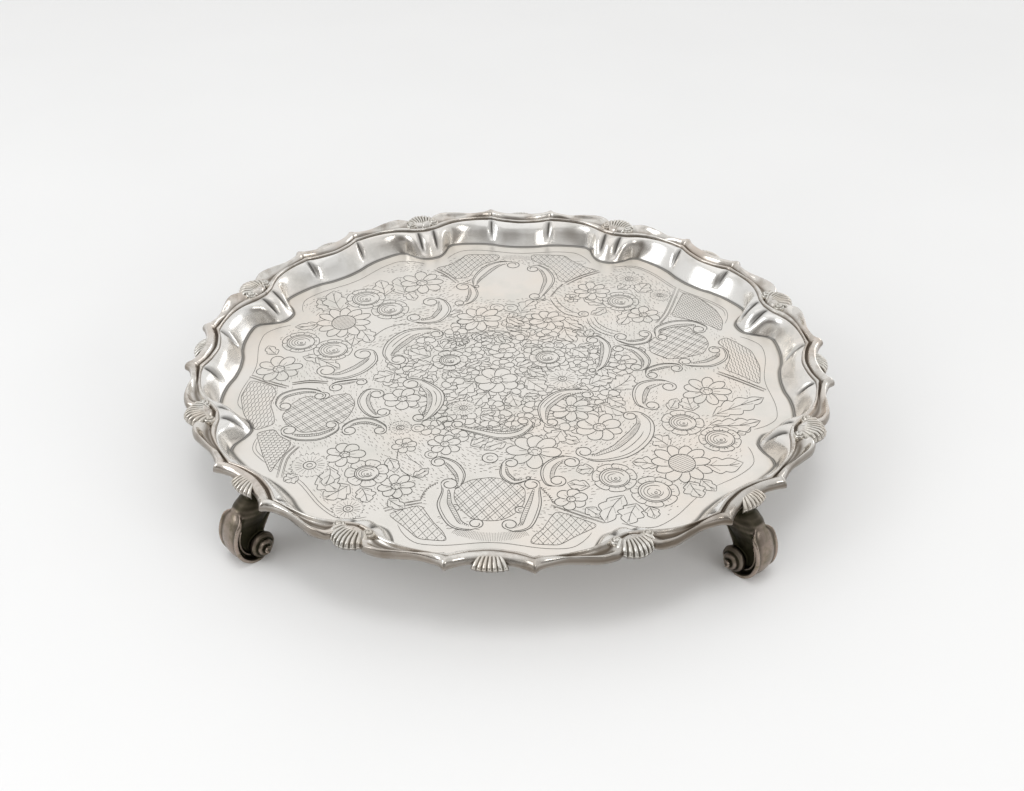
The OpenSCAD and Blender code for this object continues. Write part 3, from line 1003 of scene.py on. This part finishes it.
def scroll(va, vb, via, w, lines=2, ticks=True):
    """A C-scroll: a crescent band through the via points, with a volute (x, y, r) at each end."""
    ca, cb = np.array(va[:2], float), np.array(vb[:2], float)
    heart = (ca + cb) / 2
    w *= 1.4
    via = [np.array(p, float) for p in via]
    ta, tb = touch(ca, va[2], via[0], heart), touch(cb, vb[2], via[-1], heart)
    outer = spline([ta] + via + [tb])
    for c, r, start, frm in ((ca, va[2], ta, outer[2]), (cb, vb[2], tb, outer[-3])):
        stroke(volute(c, r, start, frm), BOLD, "scrolls")
        mask(ring(c[0], c[1], r * .99))
    outer = relax(resample(outer, .8), 5)
    t = np.linspace(0, 1, len(outer))
    normal = sideways(outer)
    mid = len(outer) // 2
    if np.dot(normal[mid], heart - outer[mid]) < 0:
        normal = -normal
    near = .5 * (va[2] + vb[2]) * .35
    wide = near + (w - near) * np.sin(np.pi * t) ** .8
    inner = relax(outer + normal * wide[:, None], 12)
    stroke(outer, BOLD, "scrolls")
    body = (t > .03) & (t < .97)
    stroke(inner[body], MEDIUM, "scrolls")
    for share, lo, hi in ((.17, .08, .95), (.70, .20, .90), (.45, .32, .70))[:lines]:
        keep = (t > lo) & (t < hi)
        stroke((outer + normal * (wide * share)[:, None])[keep], FINE + .04, "scrolls")
    if ticks:
        for i in range(3, len(outer) - 3, 2):
            a = outer[i] + normal[i] * wide[i] * .72
            b = outer[i] + normal[i] * wide[i] * .93
            stroke([a, b], FINE, "scrolls")
    mask(np.vstack([outer, inner[::-1]]))


def double_band(points, gap=2.6):
    """A flat band with a double line along each edge."""
    p = resample(spline(points), 1.2)
    normal = sideways(p)
    for share in (0, .22, .78, 1):
        stroke(p + normal * (share - .5) * gap, FINE + .05, "ground")
    mask(np.vstack([p + normal * gap / 2, (p - normal * gap / 2)[::-1]]))


def panel(points):
    """A panel's rounded outline, its middle and how far it reaches from there."""
    region = rounded(points)
    mid = region.mean(0)
    return region, mid, np.hypot(*(region - mid).T).max()


def close_panel(region):
    """Draws a filled panel's outline."""
    stroke(np.vstack([region, region[:1]]), FINE + .06, "ground")
    mask(region)


def trellis(points, angles, pitch, double=0.0):
    """Two sets of straight lines across a panel, or of double lines so far apart, and a dot in each cell."""
    region, mid, reach = panel(points)
    reach += pitch
    count = int(reach / pitch) + 1
    sides = []
    for a in angles:
        c, s = heading(a)
        along, across = np.array([c, s]), np.array([-s, c])
        sides.append(across)
        for k in range(-count, count + 1):
            for off in ((-double / 2, double / 2) if double else (0,)):
                base = mid + across * ((k + .5) * pitch + off)
                stroke([base - along * reach, base + along * reach], MEDIUM + .02, "scrolls", region)
    steps = np.arange(-count, count + 1)
    i, j = np.meshgrid(steps, steps, indexing="ij")
    cells = (np.stack([i.ravel(), j.ravel()]) + 1) * pitch
    spots = mid + (np.linalg.inv(np.array(sides)) @ cells).T
    for p in spots[inside(spots, region) & ~hidden(spots)]:
        STROKES["ground"].append((np.array([p, p + [.35, .12]]), .42))
    close_panel(region)


def waves(points, turn, pitch=1.7, amp=.35, length=4.2):
    """Rows of wavy lines across a panel."""
    region, mid, reach = panel(points)
    reach += pitch
    count = int(reach / pitch) + 1
    x = np.arange(-reach, reach, length / 6)
    for k in range(-count, count + 1):
        y = k * pitch + amp * np.sin(2 * np.pi * x / length + k * 1.3)
        stroke(place(np.stack([x, y], 1), mid[0], mid[1], turn), FINE, "ground", region)
    close_panel(region)


def scales(points, turn):
    """Rows of small arcs across a panel, like fish scales."""
    pitch = 2.4
    region, mid, reach = panel(points)
    count = int(reach / pitch) + 1
    for k in range(-count, count + 1):
        for j in range(-count, count + 1):
            scale = ring((j + .5 * (k % 2)) * pitch, k * pitch * .8, pitch * .5, 180, 180, n=5)
            stroke(place(scale, mid[0], mid[1], turn), FINE, "ground", region)
    close_panel(region)


def fan(x, y, r0, r1, start, sweep, n):
    """Short radial strokes, like hatching between two arcs."""
    for k in range(n):
        a = start + sweep * (k + .5) / n
        spoke(x, y, a, r0 + RNG.uniform(0, .5), r1 - RNG.uniform(0, .8), "ground")


def boss(x, y, r):
    """A small round knob."""
    stroke(ring(x, y, r), BOLD, "scrolls")
    stroke(ring(x + .15, y - .1, r * .45, 40, 280), FINE, "scrolls")
    mask(ring(x, y, r))


def ragged(points):
    """A torn, leafy edge along a line."""
    tooth = 1.6
    p = resample(spline(points), tooth)
    normal, g = sideways(p), np.gradient(p, axis=0)
    out = []
    for i in range(len(p) - 1):
        out += [p[i], p[i] + normal[i] * tooth * .7 + g[i] * .2, (p[i] + p[i + 1]) / 2]
    stroke(out + [p[-1]], FINE + .08, "ground")


def lay_scrolls():
    """The C-scrolls, from the centre outwards."""
    # about the blank cartouche at the back
    scroll((-3, 123.5, 4), (-24, 95.5, 1.6), [(-12, 127.5), (-20, 121.5), (-25, 112), (-26.8, 103)], 5.2)
    scroll((9.5, 119, 3.5), (12, 85, 3.6), [(13, 124), (20, 117), (23.3, 105), (19.5, 92)], 4.8)
    scroll((-32, 95, 4.2), (-32.5, 75, 3), [(-25, 95), (-22.3, 86), (-25, 77)], 4.2)
    # the middle field
    scroll((-50, 76, 4.5), (-58, 57, 4), [(-42, 78.5), (-37, 67), (-42, 54), (-52, 51)], 6)
    scroll((-43, 40, 3.6), (-62, 11.5, 4.5), [(-50, 46), (-62, 42), (-70, 30), (-71, 17)], 8, lines=3)
    scroll((46, 37.5, 3.5), (46, 6, 2.0), [(50.5, 41), (55.5, 34), (56.3, 24), (53, 11)], 4.2)
    scroll((-52, -11.5, 4.5), (-44.5, -43, 3.2), [(-44, -9), (-34.5, -18), (-33, -30), (-38, -42)],
        6.6, lines=3)
    scroll((-69, -22, 3.8), (-63.5, -39, 3.5), [(-75, -18), (-78.5, -28), (-75, -38), (-68, -44)], 4.6)
    scroll((43, -17.5, 3.2), (24.5, -44, 3.2), [(40, -12.5), (27, -15), (17.5, -28), (18.5, -41)],
        5.4, lines=3)
    scroll((65, -36, 3.5), (41, -68.5, 4), [(71, -33), (77, -42), (75, -57), (64, -71), (48, -76)],
        9.5, lines=4)
    scroll((10, -43, 3.2), (-24, -48, 3.0), [(15, -47), (9, -56.5), (-2, -59.5), (-15, -55)], 4.6)
    scroll((87, -8, 3.9), (77, -26.5, 3.7), [(82, -1.5), (71, -5), (67, -15), (69, -26)], 6)
    scroll((35, -77, 4), (28.5, -92.5, 4), [(29, -72.5), (21.5, -79), (20, -88), (23, -96)], 5)
    # left
    scroll((-82, 17, 5), (-100, -1, 5), [(-76, 20), (-73.2, 10), (-79, -2), (-90, -9), (-100, -7.5)], 6.4)
    scroll((-116, -36, 3.4), (-99, -25.5, 3), [(-121.5, -33), (-120, -24.5), (-111, -19), (-102, -19.5)],
        3.6)
    scroll((-92, -17, 3.5), (-79, -11, 3), [(-93, -12), (-86, -9.5)], 2.6, ticks=False)
    scroll((-110, -57, 3.8), (-88.5, -51, 3.2), [(-112, -61.5), (-103, -65.5), (-92, -64), (-84.5, -56)],
        4.0)
    scroll((-79, -56, 3.5), (-63, -55, 3.2), [(-82.5, -51.5), (-77, -45.5), (-69, -44.5), (-61, -50)], 3.6)
    # right
    scroll((114.5, 30, 3.4), (97, 17, 3.4), [(120, 31), (120.5, 21), (112, 13), (101, 12.5)], 5.4)
    scroll((107.5, 51.5, 3.7), (85.5, 42, 3.2), [(112, 55), (104, 61), (92, 60), (82, 52)], 4.6)
    scroll((92, 10, 3.2), (78, 2.5, 3.2), [(93, 14.5), (84, 14.5), (75.5, 9)], 3.4)
    scroll((60.5, 29, 3.2), (70, 10, 3.4), [(64, 33), (73, 28.5), (78, 18), (75.5, 9)], 4.2)
    scroll((62, 41.5, 3.5), (76, 45.5, 3.5), [(60.5, 37), (68, 33), (77, 36), (80, 43)], 3.6)
    # front cartouche
    scroll((-9, -126, 3.3), (-24, -97, 4), [(-14, -131), (-22, -127.5), (-28.3, -114), (-27, -103)], 5.6)
    scroll((6.5, -126, 3.5), (16, -95.5, 3.8), [(10, -131), (17, -127), (20.8, -112), (20, -100)], 5.4)
    scroll((-31, -80, 3.5), (-20.5, -99, 1.4), [(-30.5, -75.5), (-22, -79.5), (-17, -88), (-17.4, -96)],
        4.4)
    scroll((5, -79, 3.5), (14, -91, 1.2), [(0.3, -81), (0.5, -90), (7, -96)], 3.4)
    for x, y, r in ((14.5, 84.5, 3.6), (-97, -25, 3), (41, 66, 3), (-5.5, -75.5, 4), (-20, -115, 2.4),
            (11, -115, 2.4), (17, 82, 1.6)):
        boss(x, y, r)


def lay_curls():
    """The small wave-like curls between the flowers."""
    for pts, w in (([(2, 39), (-5, 44.5), (-14, 43), (-21, 36), (-17, 31.5), (-13.5, 35)], MEDIUM),
            ([(1, 36), (-5, 40.5), (-12, 39.5), (-16, 36)], FINE), ([(-33, -50), (-35, -44), (-29, -41),
            (-25, -46), (-20, -49)], MEDIUM), ([(-31, -50), (-32, -46), (-28.5, -44)], FINE), ([(4, -38),
            (-1, -46), (-8, -50), (-16, -49)], FINE), ([(6, -36), (2, -42), (-4, -46)], FINE), ([(43, 61),
            (45, 53), (51, 45.5), (60, 41)], BOLD), ([(45, 61.5), (47, 54.5), (53, 47.5), (61, 43.5)],
            FINE), ([(47.5, 62), (49.5, 56), (55, 50), (62, 46.5)], MEDIUM), ([(21, 83), (24, 75),
            (30, 66), (40, 61.5)], BOLD), ([(24.5, 84), (27, 77), (33, 69.5), (41, 65)], MEDIUM),
            ([(-80, 29), (-76, 40), (-69, 47.5), (-60, 50)], MEDIUM), ([(-52, -71), (-51, -82), (-46, -90),
            (-38, -94)], MEDIUM), ([(-50, -70), (-45, -78), (-39, -84), (-36, -92)], FINE)):
        stroke(spline(pts), w, "scrolls")


def lay_flowers():
    """The flowers, where those drawn first lie in front."""
    flower(-57.5, 98.5, 13, 8, turn=10, fat=.95)
    flower(-98, 50, 16.5, 12, .42, 5, 1.05, .55, squash=1.15, hatch=True)
    rose(-89, 78, 8, 11.5, 20)
    rose(-73, 66, 7.6, 11, 50)
    rose(-119, 27.5, 7.8, 10.5, 10)
    rose(-99.5, 20.5, 8, 10.8, 40)
    flower(-126, -.5, 12.5, 8, turn=20, point=.1)
    flower(-20, 58, 13.5, 9, turn=5, point=.5)
    flower(20, 58, 10.5, 8, turn=14, point=.3)
    flower(46, 93, 10.5, 8, turn=4, point=.1)
    rose(63, 81.5, 7.6, 10.8, 0)
    aster(69, 109, 8.5)
    aster(87, 90, 6.5)
    flower(76, 66.5, 9.5, 7, turn=30)
    rose(-33, 12.5, 5.8, 10, 15)
    flower(-4.5, 23.5, 7.5, 6, .3, 12, 1.1, 0)
    rose(21, 18, 6.5, 10.2, 35)
    flower(-6, -6, 12, 7, .28, 20, 1.15, -.1)
    aster(29.5, -3, 9.5, .26)
    flower(62, 15, 8.2, 7, turn=8)
    flower(-55, -26, 10, 7, turn=15, fat=1.05)
    flower(34.5, -31, 11.5, 8, turn=0, fat=1.0)
    flower(49, -47, 12.5, 8, turn=25, fat=1.05)
    flower(16.5, -69, 13.5, 8, turn=0, fat=1.05, point=.35)
    flower(-29, -65, 8.6, 7, turn=20, point=0)
    flower(-49, -67, 6.5, 6, turn=20, point=0)
    aster(-53, -52, 6, .34)
    aster(-22, -33, 7, .3)
    flower(-36, -34, 6, 6, turn=10)
    aster(-94, -85.5, 10, .32, 20)
    flower(-78, -76, 9.8, 7, turn=6, point=.1)
    rose(-65, -90.5, 6, 10.8, 25)
    aster(-70, -118, 8, .3, 18)
    flower(-49.5, -100, 9.5, 8, turn=12, point=.2)
    rose(56, -88.5, 7.5, 11, 20)
    rose(75, -98.5, 8, 11.7, 60)
    flower(89.5, -75.5, 15.5, 11, .43, 12, 1.05, .5, squash=1.1, hatch=True)
    rose(92, -41, 7, 11, 0)
    rose(110, -54.5, 7.5, 10.7, 30)
    flower(106.5, -11.5, 13, 9, turn=4, point=.3)
    flower(35, -106, 8.2, 6, turn=22, point=.2)
    flower(-30, 34, 6.4, 12, .3, 0, .8, .5)
    flower(34, 84, 5, 6, turn=12)
    for x, y, r in ((-10, 71, 4.2), (-2, 71, 4.2), (21, 30.5, 3.6), (27, 31, 2.8), (-44, -52, 3.4),
            (-35, -74, 3.2)):
        stroke(ring(x, y, r), MEDIUM)
        stroke(ring(x, y, r * .5, 30, 260), FINE)
        mask(ring(x, y, r))


def lay_leaves():
    """Leaves, from the x and y of the stalk and the tip, the width and the number of lobes."""
    for row in ((-78, 82, -83, 99, 10, 3), (-66, 84, -72, 103, 13, 3), (-66, 88, -60, 78, 7, 2),
            (-101, 62, -109, 84, 12, 3), (-106, 62, -116, 76, 9, 3), (-88, 44, -80, 30, 9, 3),
            (-90, 40, -90, 26, 8, 3), (-112, 48, -124, 44, 7, 2), (-108, 12, -94, 2, 8, 3),
            (-130, 14, -136, 22, 6, 2), (-102, 8, -114, 12, 7, 2), (62, 96, 68, 103, 6, 2),
            (68, 72, 62, 56, 9, 3), (54, 74, 46, 66, 6, 2), (74, 92, 80, 103, 9, 3),
            (54, 78, 42, 84, 7, 3), (30, 50, 36, 36, 9, 3), (28, 62, 40, 50, 8, 3), (4, 66, 12, 80, 9, 3),
            (-4, 60, 6, 52, 6, 2), (-30, 66, -38, 60, 6, 2), (24, 40, 16, 36, 6, 2),
            (34, 28, 42, 20, 9, 3), (10, 6, 20, 0, 7, 3), (10, -4, 20, -14, 10, 3), (4, 8, 12, 14, 6, 2),
            (-44, 16, -56, 22, 10, 3), (-42, 8, -52, 4, 9, 3), (-38, 24, -34, 32, 6, 2),
            (-24, 6, -16, 12, 5, 2), (-18, -8, -26, -20, 9, 3), (-10, -18, -16, -30, 8, 3),
            (2, -18, 6, -30, 8, 3), (-62, -2, -72, -8, 10, 3), (-60, 2, -66, 8, 6, 2),
            (-54, -6, -46, 2, 7, 2), (44, -8, 56, -2, 9, 3), (56, -12, 66, 2, 12, 4),
            (54, -20, 62, -26, 8, 3), (50, -26, 62, -34, 10, 3), (30, -50, 24, -62, 9, 3),
            (28, -56, 38, -60, 7, 2), (2, -62, -8, -68, 7, 2), (-16, -66, -8, -60, 6, 2),
            (-84, -86, -84, -100, 8, 3), (-98, -94, -104, -98, 7, 3), (-88, -94, -78, -104, 10, 3),
            (-72, -100, -82, -110, 11, 3), (-66, -102, -62, -112, 8, 3), (-56, -78, -52, -88, 6, 2),
            (-52, -110, -44, -116, 6, 2), (-42, -92, -36, -86, 5, 2), (66, -108, 62, -122, 10, 3),
            (60, -102, 52, -121, 10, 3), (72, -110, 74, -118, 6, 2), (92, -90, 97, -101, 9, 3),
            (100, -76, 118, -74, 11, 2), (98, -88, 104, -96, 6, 2), (84, -62, 76, -54, 9, 3),
            (78, -78, 66, -76, 8, 3), (46, -82, 38, -84, 7, 2), (44, -96, 34, -94, 7, 2),
            (108, -34, 134, -18, 11, 4), (106, -42, 130, -38, 10, 4), (98, -30, 96, -18, 9, 3),
            (86, -30, 90, -20, 6, 2), (42, -112, 48, -118, 6, 2), (118, -50, 126, -44, 6, 2),
            (50, 10, 52, -2, 6, 2), (72, 24, 74, 30, 5, 2), (-8, 40, -4, 32, 5, 2)):
        leaf(*row, bend=RNG.uniform(-.10, .10))


def lay_blossoms():
    """Small blossoms and leaves that crowd the middle, behind everything drawn before them."""
    pitch, steps, reach = 11.0, range(-6, 7), 64
    for j in steps:
        for i in steps:
            x = (i + .5 * (j % 2) + RNG.uniform(-.2, .2)) * pitch
            y = (j * .9 + RNG.uniform(-.2, .2)) * pitch
            if math.hypot(x, y + 4) > reach:
                continue
            if (i + 2 * j) % 3:
                flower(x, y, RNG.uniform(5.6, 7.2), RNG.choice((5, 5, 6)), .26, RNG.uniform(0, 72), fat=1.1,
                       point=0, vein=False)
            else:
                a = RNG.uniform(0, 360)
                for turn in (0, 55, -55):
                    c, s = heading(a + turn)
                    leaf(x, y, x + 8 * c, y + 8 * s, 5, lobes=2)


def lay_panels():
    """The trellis, wave and scale panels, with the bands that part them."""
    # back
    double_band([(-51, 116), (-44, 110), (-36, 100)])
    double_band([(30, 101), (39, 110), (51, 118)])
    left = [(-33, 136), (-36, 130), (-42, 122), (-51, 117.5), (-44, 111), (-37, 104), (-29, 107),
        (-27, 116), (-22, 124), (-12, 130), (-12, 136.5)]
    right = [(29, 137.5), (34, 130), (42, 122.5), (50, 119), (42, 112), (32, 104), (26, 104), (24, 114),
        (20, 122), (12, 128), (8, 130), (8, 137.5)]
    trellis(left, (62, -58), 3.2)
    trellis(right, (62, -58), 3.2)
    fan(-2, 104, 27, 32.5, 72, 34, 22)
    # left
    double_band([(-116, -14.5), (-107, -12), (-97, -12.5)], 2.2)
    double_band([(-103, -70), (-107, -80), (-107, -96)], 3.0)
    double_band([(-140, -8), (-128, -14), (-118, -18)], 2.4)
    trellis([(-99, -27), (-84, -22), (-79, -32), (-81, -44), (-84, -50), (-92, -56), (-103, -59),
        (-112, -52), (-116, -45), (-113, -34), (-107, -26)], (48, -46), 4.9, double=1.35)
    waves([(-139, -12), (-126, -17), (-122.5, -24), (-124, -34), (-120, -44), (-118, -52), (-127, -58),
        (-136, -44), (-141, -28)], 78)
    scales([(-126, -60), (-117, -56), (-114, -62), (-106, -67), (-108, -76), (-111, -86), (-112, -93),
        (-119, -78)], 60)
    # right
    double_band([(84, 57), (90, 70), (98, 99)], 3.0)
    double_band([(114, 7), (125, 0), (138, -9.5)], 2.6)
    trellis([(84, 53), (92, 55), (103, 54), (103, 49), (110, 44), (112, 36), (108, 26), (97, 21), (88, 19),
        (78, 26), (78, 38), (86, 46)], (54, -34), 5.4, double=1.45)
    waves([(118, 10), (126, 5), (136, -4), (138, 14), (135, 30), (122, 44), (116, 38), (122, 30),
        (122, 20)], 95)
    waves([(92, 66), (100, 63), (108, 60), (114, 56), (120, 50), (122, 62), (119, 74), (110, 88),
        (101, 94)], -60, 1.6, .4, 3.6)
    # front
    trellis([(-21, -100), (-14, -93.5), (-4, -91), (6, -93), (13, -99), (13, -110), (9, -118), (3, -123),
        (-4, -124), (-11, -123), (-17, -116), (-21, -108)], (56, -56), 5.2, double=1.5)
    double_band([(-53, -118), (-45, -114), (-36, -111)], 2.6)
    double_band([(26, -110), (38, -116), (51, -122)], 2.6)
    trellis([(-51, -121), (-44, -117), (-36, -113.5), (-33, -119), (-29, -126), (-24, -132), (-21, -139),
        (-35, -138), (-41, -131)], (58, -55), 3.6)
    trellis([(48, -124.5), (38, -119.5), (28, -115), (25, -121), (22, -129), (18, -133), (16, -139),
        (30, -139.5), (37, -133), (44, -128)], (58, -55), 3.6)
    fan(-2, -104, 28, 34.5, 238, 64, 46)
    for points in ([(-30, -96), (-35, -102), (-37, -110)], [(20, -98), (25, -106), (27, -114)], [(28, 101),
            (24, 93), (21, 85)], [(-28, 104), (-31, 101)], [(-47, 108), (-40, 104), (-37, 99)]):
        ragged(points)


def lay_outline():
    """The scalloped line inside the edge of the well, and a second one beside two of the panels."""
    inset, gap = 9.2, 1.7
    a = np.arange(0, 360, 1.0)
    edge = wave(WELL_EDGE, a)
    soft = sum(np.roll(edge, k) for k in range(-3, 4)) / 7
    r = np.minimum(soft, edge + 1) - inset
    for i in range(UNITS):
        for start, stop, off in ((3, 42, 0), (6, 39, -gap))[:1 if i % 4 else 2]:
            t = np.arange(start, stop, .8) + i * 45 + HALF_A
            rr = np.interp(np.mod(t, 360), np.append(a, 360), np.append(r, r[0])) + off
            stroke(np.stack([rr * np.cos(np.radians(t)), rr * np.sin(np.radians(t))], 1), FINE, "ground")


def lay_ticks():
    """Short graver's cuts over what ground is left, in patches."""
    pitch, reach = 2.5, 132
    blank = ring(-2, 103, 21)
    n = int(reach / pitch)
    row = np.arange(-n, n + 1)
    for i in row:
        x = (i + np.array([RNG.uniform(-.38, .38) for _ in row])) * pitch
        y = (row + np.array([RNG.uniform(-.38, .38) for _ in row])) * pitch
        size = np.array([RNG.uniform(.4, 1.1) for _ in row])
        r, a = np.hypot(x, y), np.degrees(np.arctan2(y, x))
        lean = np.radians(a + 90 + 50 * value_noise(x, y, 26, 8))
        d = np.stack([np.cos(lean), np.sin(lean)], 1) * size[:, None]
        p = np.stack([x, y], 1)
        keep = r < wave(WELL_EDGE, a) - 12.5 - 5 * (value_noise(x, y, 14, 9) > .1)
        keep &= value_noise(x, y, 15, 11) > -.32
        for q in (p - d, p + d):
            keep &= ~hidden(q) & ~inside(q, blank)
        for k in np.flatnonzero(keep):
            cut = np.array([p[k] - d[k], p[k] + [0, .12], p[k] + d[k]])
            STROKES["ground"].append((cut, FINE * RNG.uniform(.7, 1)))


def build_strokes(name, strokes, material):
    """Closed V-topped slips, one for each stroke, let into the well's surface."""
    lip, bed, root = .07, .03, .12      # above, above and below the surface
    points, faces, base = [], [], 0
    for p, width in strokes:
        n = len(p)
        d = np.concatenate([[0], np.cumsum(np.hypot(*np.diff(p, axis=0).T))])
        near_end = np.minimum(d, d[-1] - d)
        w = width * (.45 + .55 * smooth(near_end / 1.3)) if d[-1] > 1.2 else np.full(n, width)
        top = WELL_Z + ripple(p[:, 0], p[:, 1])
        across = sideways(p) * w[:, None] / 2
        section = [np.column_stack(corner) for corner in (
            (p + across, top + lip), (p, top + bed), (p - across, top + lip), (p, top - root))]
        points.append(np.stack(section, 1).reshape(-1, 3))
        k = base + 4 * np.arange(n - 1)[:, None]
        for a, b in ((0, 1), (1, 2), (2, 3), (3, 0)):
            faces.append(np.concatenate([k + b, k + a, k + a + 4, k + b + 4], 1))
        faces.append(np.array([base + np.arange(4), base + 4 * n - 1 - np.arange(4)]))
        base += 4 * n
    obj = make_object(name, np.vstack(points), np.vstack(faces).tolist(), [material], shade_smooth=False)
    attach(obj, "root")


def chased_metal(name, colour, rough):
    mat, _, shader = new_material(name)
    shader.inputs["Base Color"].default_value = (*colour, 1)
    shader.inputs["Metallic"].default_value = .35
    shader.inputs["Roughness"].default_value = rough
    return mat


for lay in (lay_scrolls, lay_flowers, lay_leaves, lay_curls, lay_blossoms, lay_panels, lay_outline,
            lay_ticks):
    lay()
for kind, colour, rough in (("flowers", (.115, .11, .10), .5), ("scrolls", (.105, .10, .09), .5),
                            ("ground", (.17, .155, .14), .55)):
    build_strokes("chased_" + kind, STROKES[kind], chased_metal("tarnish_" + kind, colour, rough))

# ---------------------------------------------------------------- the floor, light and camera
def build_table():
    mat, tree, shader = new_material("table_white")
    coords = tree.nodes.new("ShaderNodeTexCoord").outputs["Object"]
    n = noise_node(tree, coords, 6.0, 2.0, 0.5)
    colour = ramp_node(tree, n, [(0.3, (.80, .80, .80)), (0.7, (.815, .815, .815))])
    tree.links.new(colour, shader.inputs["Base Color"])
    shader.inputs["Roughness"].default_value = .7
    shader.inputs["Specular IOR Level"].default_value = .2
    bpy.ops.mesh.primitive_plane_add(size=8, location=(0, 0, 0))
    table = bpy.context.object
    table.name = "table"
    table.data.materials.append(mat)


build_table()


def area_light(name, location, target, size, power, colour=(1, 1, 1)):
    data = bpy.data.lights.new(name, "AREA")
    data.shape = "RECTANGLE"
    data.size, data.size_y = size
    data.energy = power
    data.color = colour
    obj = bpy.data.objects.new(name, data)
    obj.location = location
    direction = Vector(target) - Vector(location)
    obj.rotation_euler = direction.to_track_quat("-Z", "Y").to_euler()
    bpy.context.scene.collection.objects.link(obj)
    return obj


def build_world():
    """A studio that is dark low in front, pale above and behind, and pale near the horizon all round."""
    world = bpy.data.worlds.new("studio")
    bpy.context.scene.world = world
    world.use_nodes = True
    tree = world.node_tree
    coords = tree.nodes.new("ShaderNodeTexCoord").outputs["Generated"]
    split = tree.nodes.new("ShaderNodeSeparateXYZ")
    tree.links.new(coords, split.inputs[0])
    y = math_node(tree, "MULTIPLY", split.outputs[1], .40)
    z = math_node(tree, "MULTIPLY", split.outputs[2], .30)
    t = math_node(tree, "ADD", math_node(tree, "ADD", y, z), .27)
    uneven = math_node(tree, "MULTIPLY", noise_node(tree, coords, 2.6, 1.0, .5), .54)
    t = math_node(tree, "ADD", t, uneven)
    horizon = math_node(tree, "ADD", math_node(tree, "MULTIPLY", split.outputs[2], -2.6), .66)
    t = math_node(tree, "MAXIMUM", t, horizon)
    colour = ramp_node(tree, t, [(.0, (.05, .044, .038)), (.24, (.15, .135, .12)), (.40, (.36, .35, .335)),
                                 (.60, (.76, .76, .755)), (1, (.90, .90, .895))])
    background = tree.nodes["Background"]
    tree.links.new(colour, background.inputs["Color"])
    background.inputs["Strength"].default_value = 1.0


build_world()
# the key and the low fills light the table, the panel and the small fills are what the silver mirrors
key = area_light("key_top", (-.05, -.45, 4.0), (0, 0, 0), (1.5, 1.3), 28.5)
low_left = area_light("low_left", (-2.0, -2.0, .85), (0, -.05, 0), (1.4, .9), 15.5)
low_right = area_light("low_right", (2.1, -1.9, .8), (0, -.05, 0), (1.4, .8), 26)
for light in (key, low_left, low_right):
    light.visible_glossy = False
panel = area_light("panel_top", (-.10, -.02, 1.45), (0, 0, 0), (1.8, 1.3), 1.3)
panel.visible_diffuse = False
fill_back = area_light("fill_back", (1.1, 1.0, .36), (0, 0, .04), (1.0, .34), 1.5)
fill_back.visible_diffuse = False
area_light("fill_left", (-1.3, -.5, .9), (0, 0, 0), (.7, .9), 4.5, (.96, .98, 1))
area_light("fill_right", (.9, -1.4, 1.2), (0, 0, 0), (.6, .5), 3, (1, .99, .97))

camera_data = bpy.data.cameras.new("camera")
camera_data.lens = 44.9
camera_data.sensor_width = 36
camera = bpy.data.objects.new("camera", camera_data)
camera.location = (.0283, -.5798, .4134)
look = Vector((.0038, -.0400, .0420)) - Vector(camera.location)
camera.rotation_euler = look.to_track_quat("-Z", "Y").to_euler()
bpy.context.scene.collection.objects.link(camera)
bpy.context.scene.camera = camera
bpy.context.scene.view_settings.view_transform = "Standard"
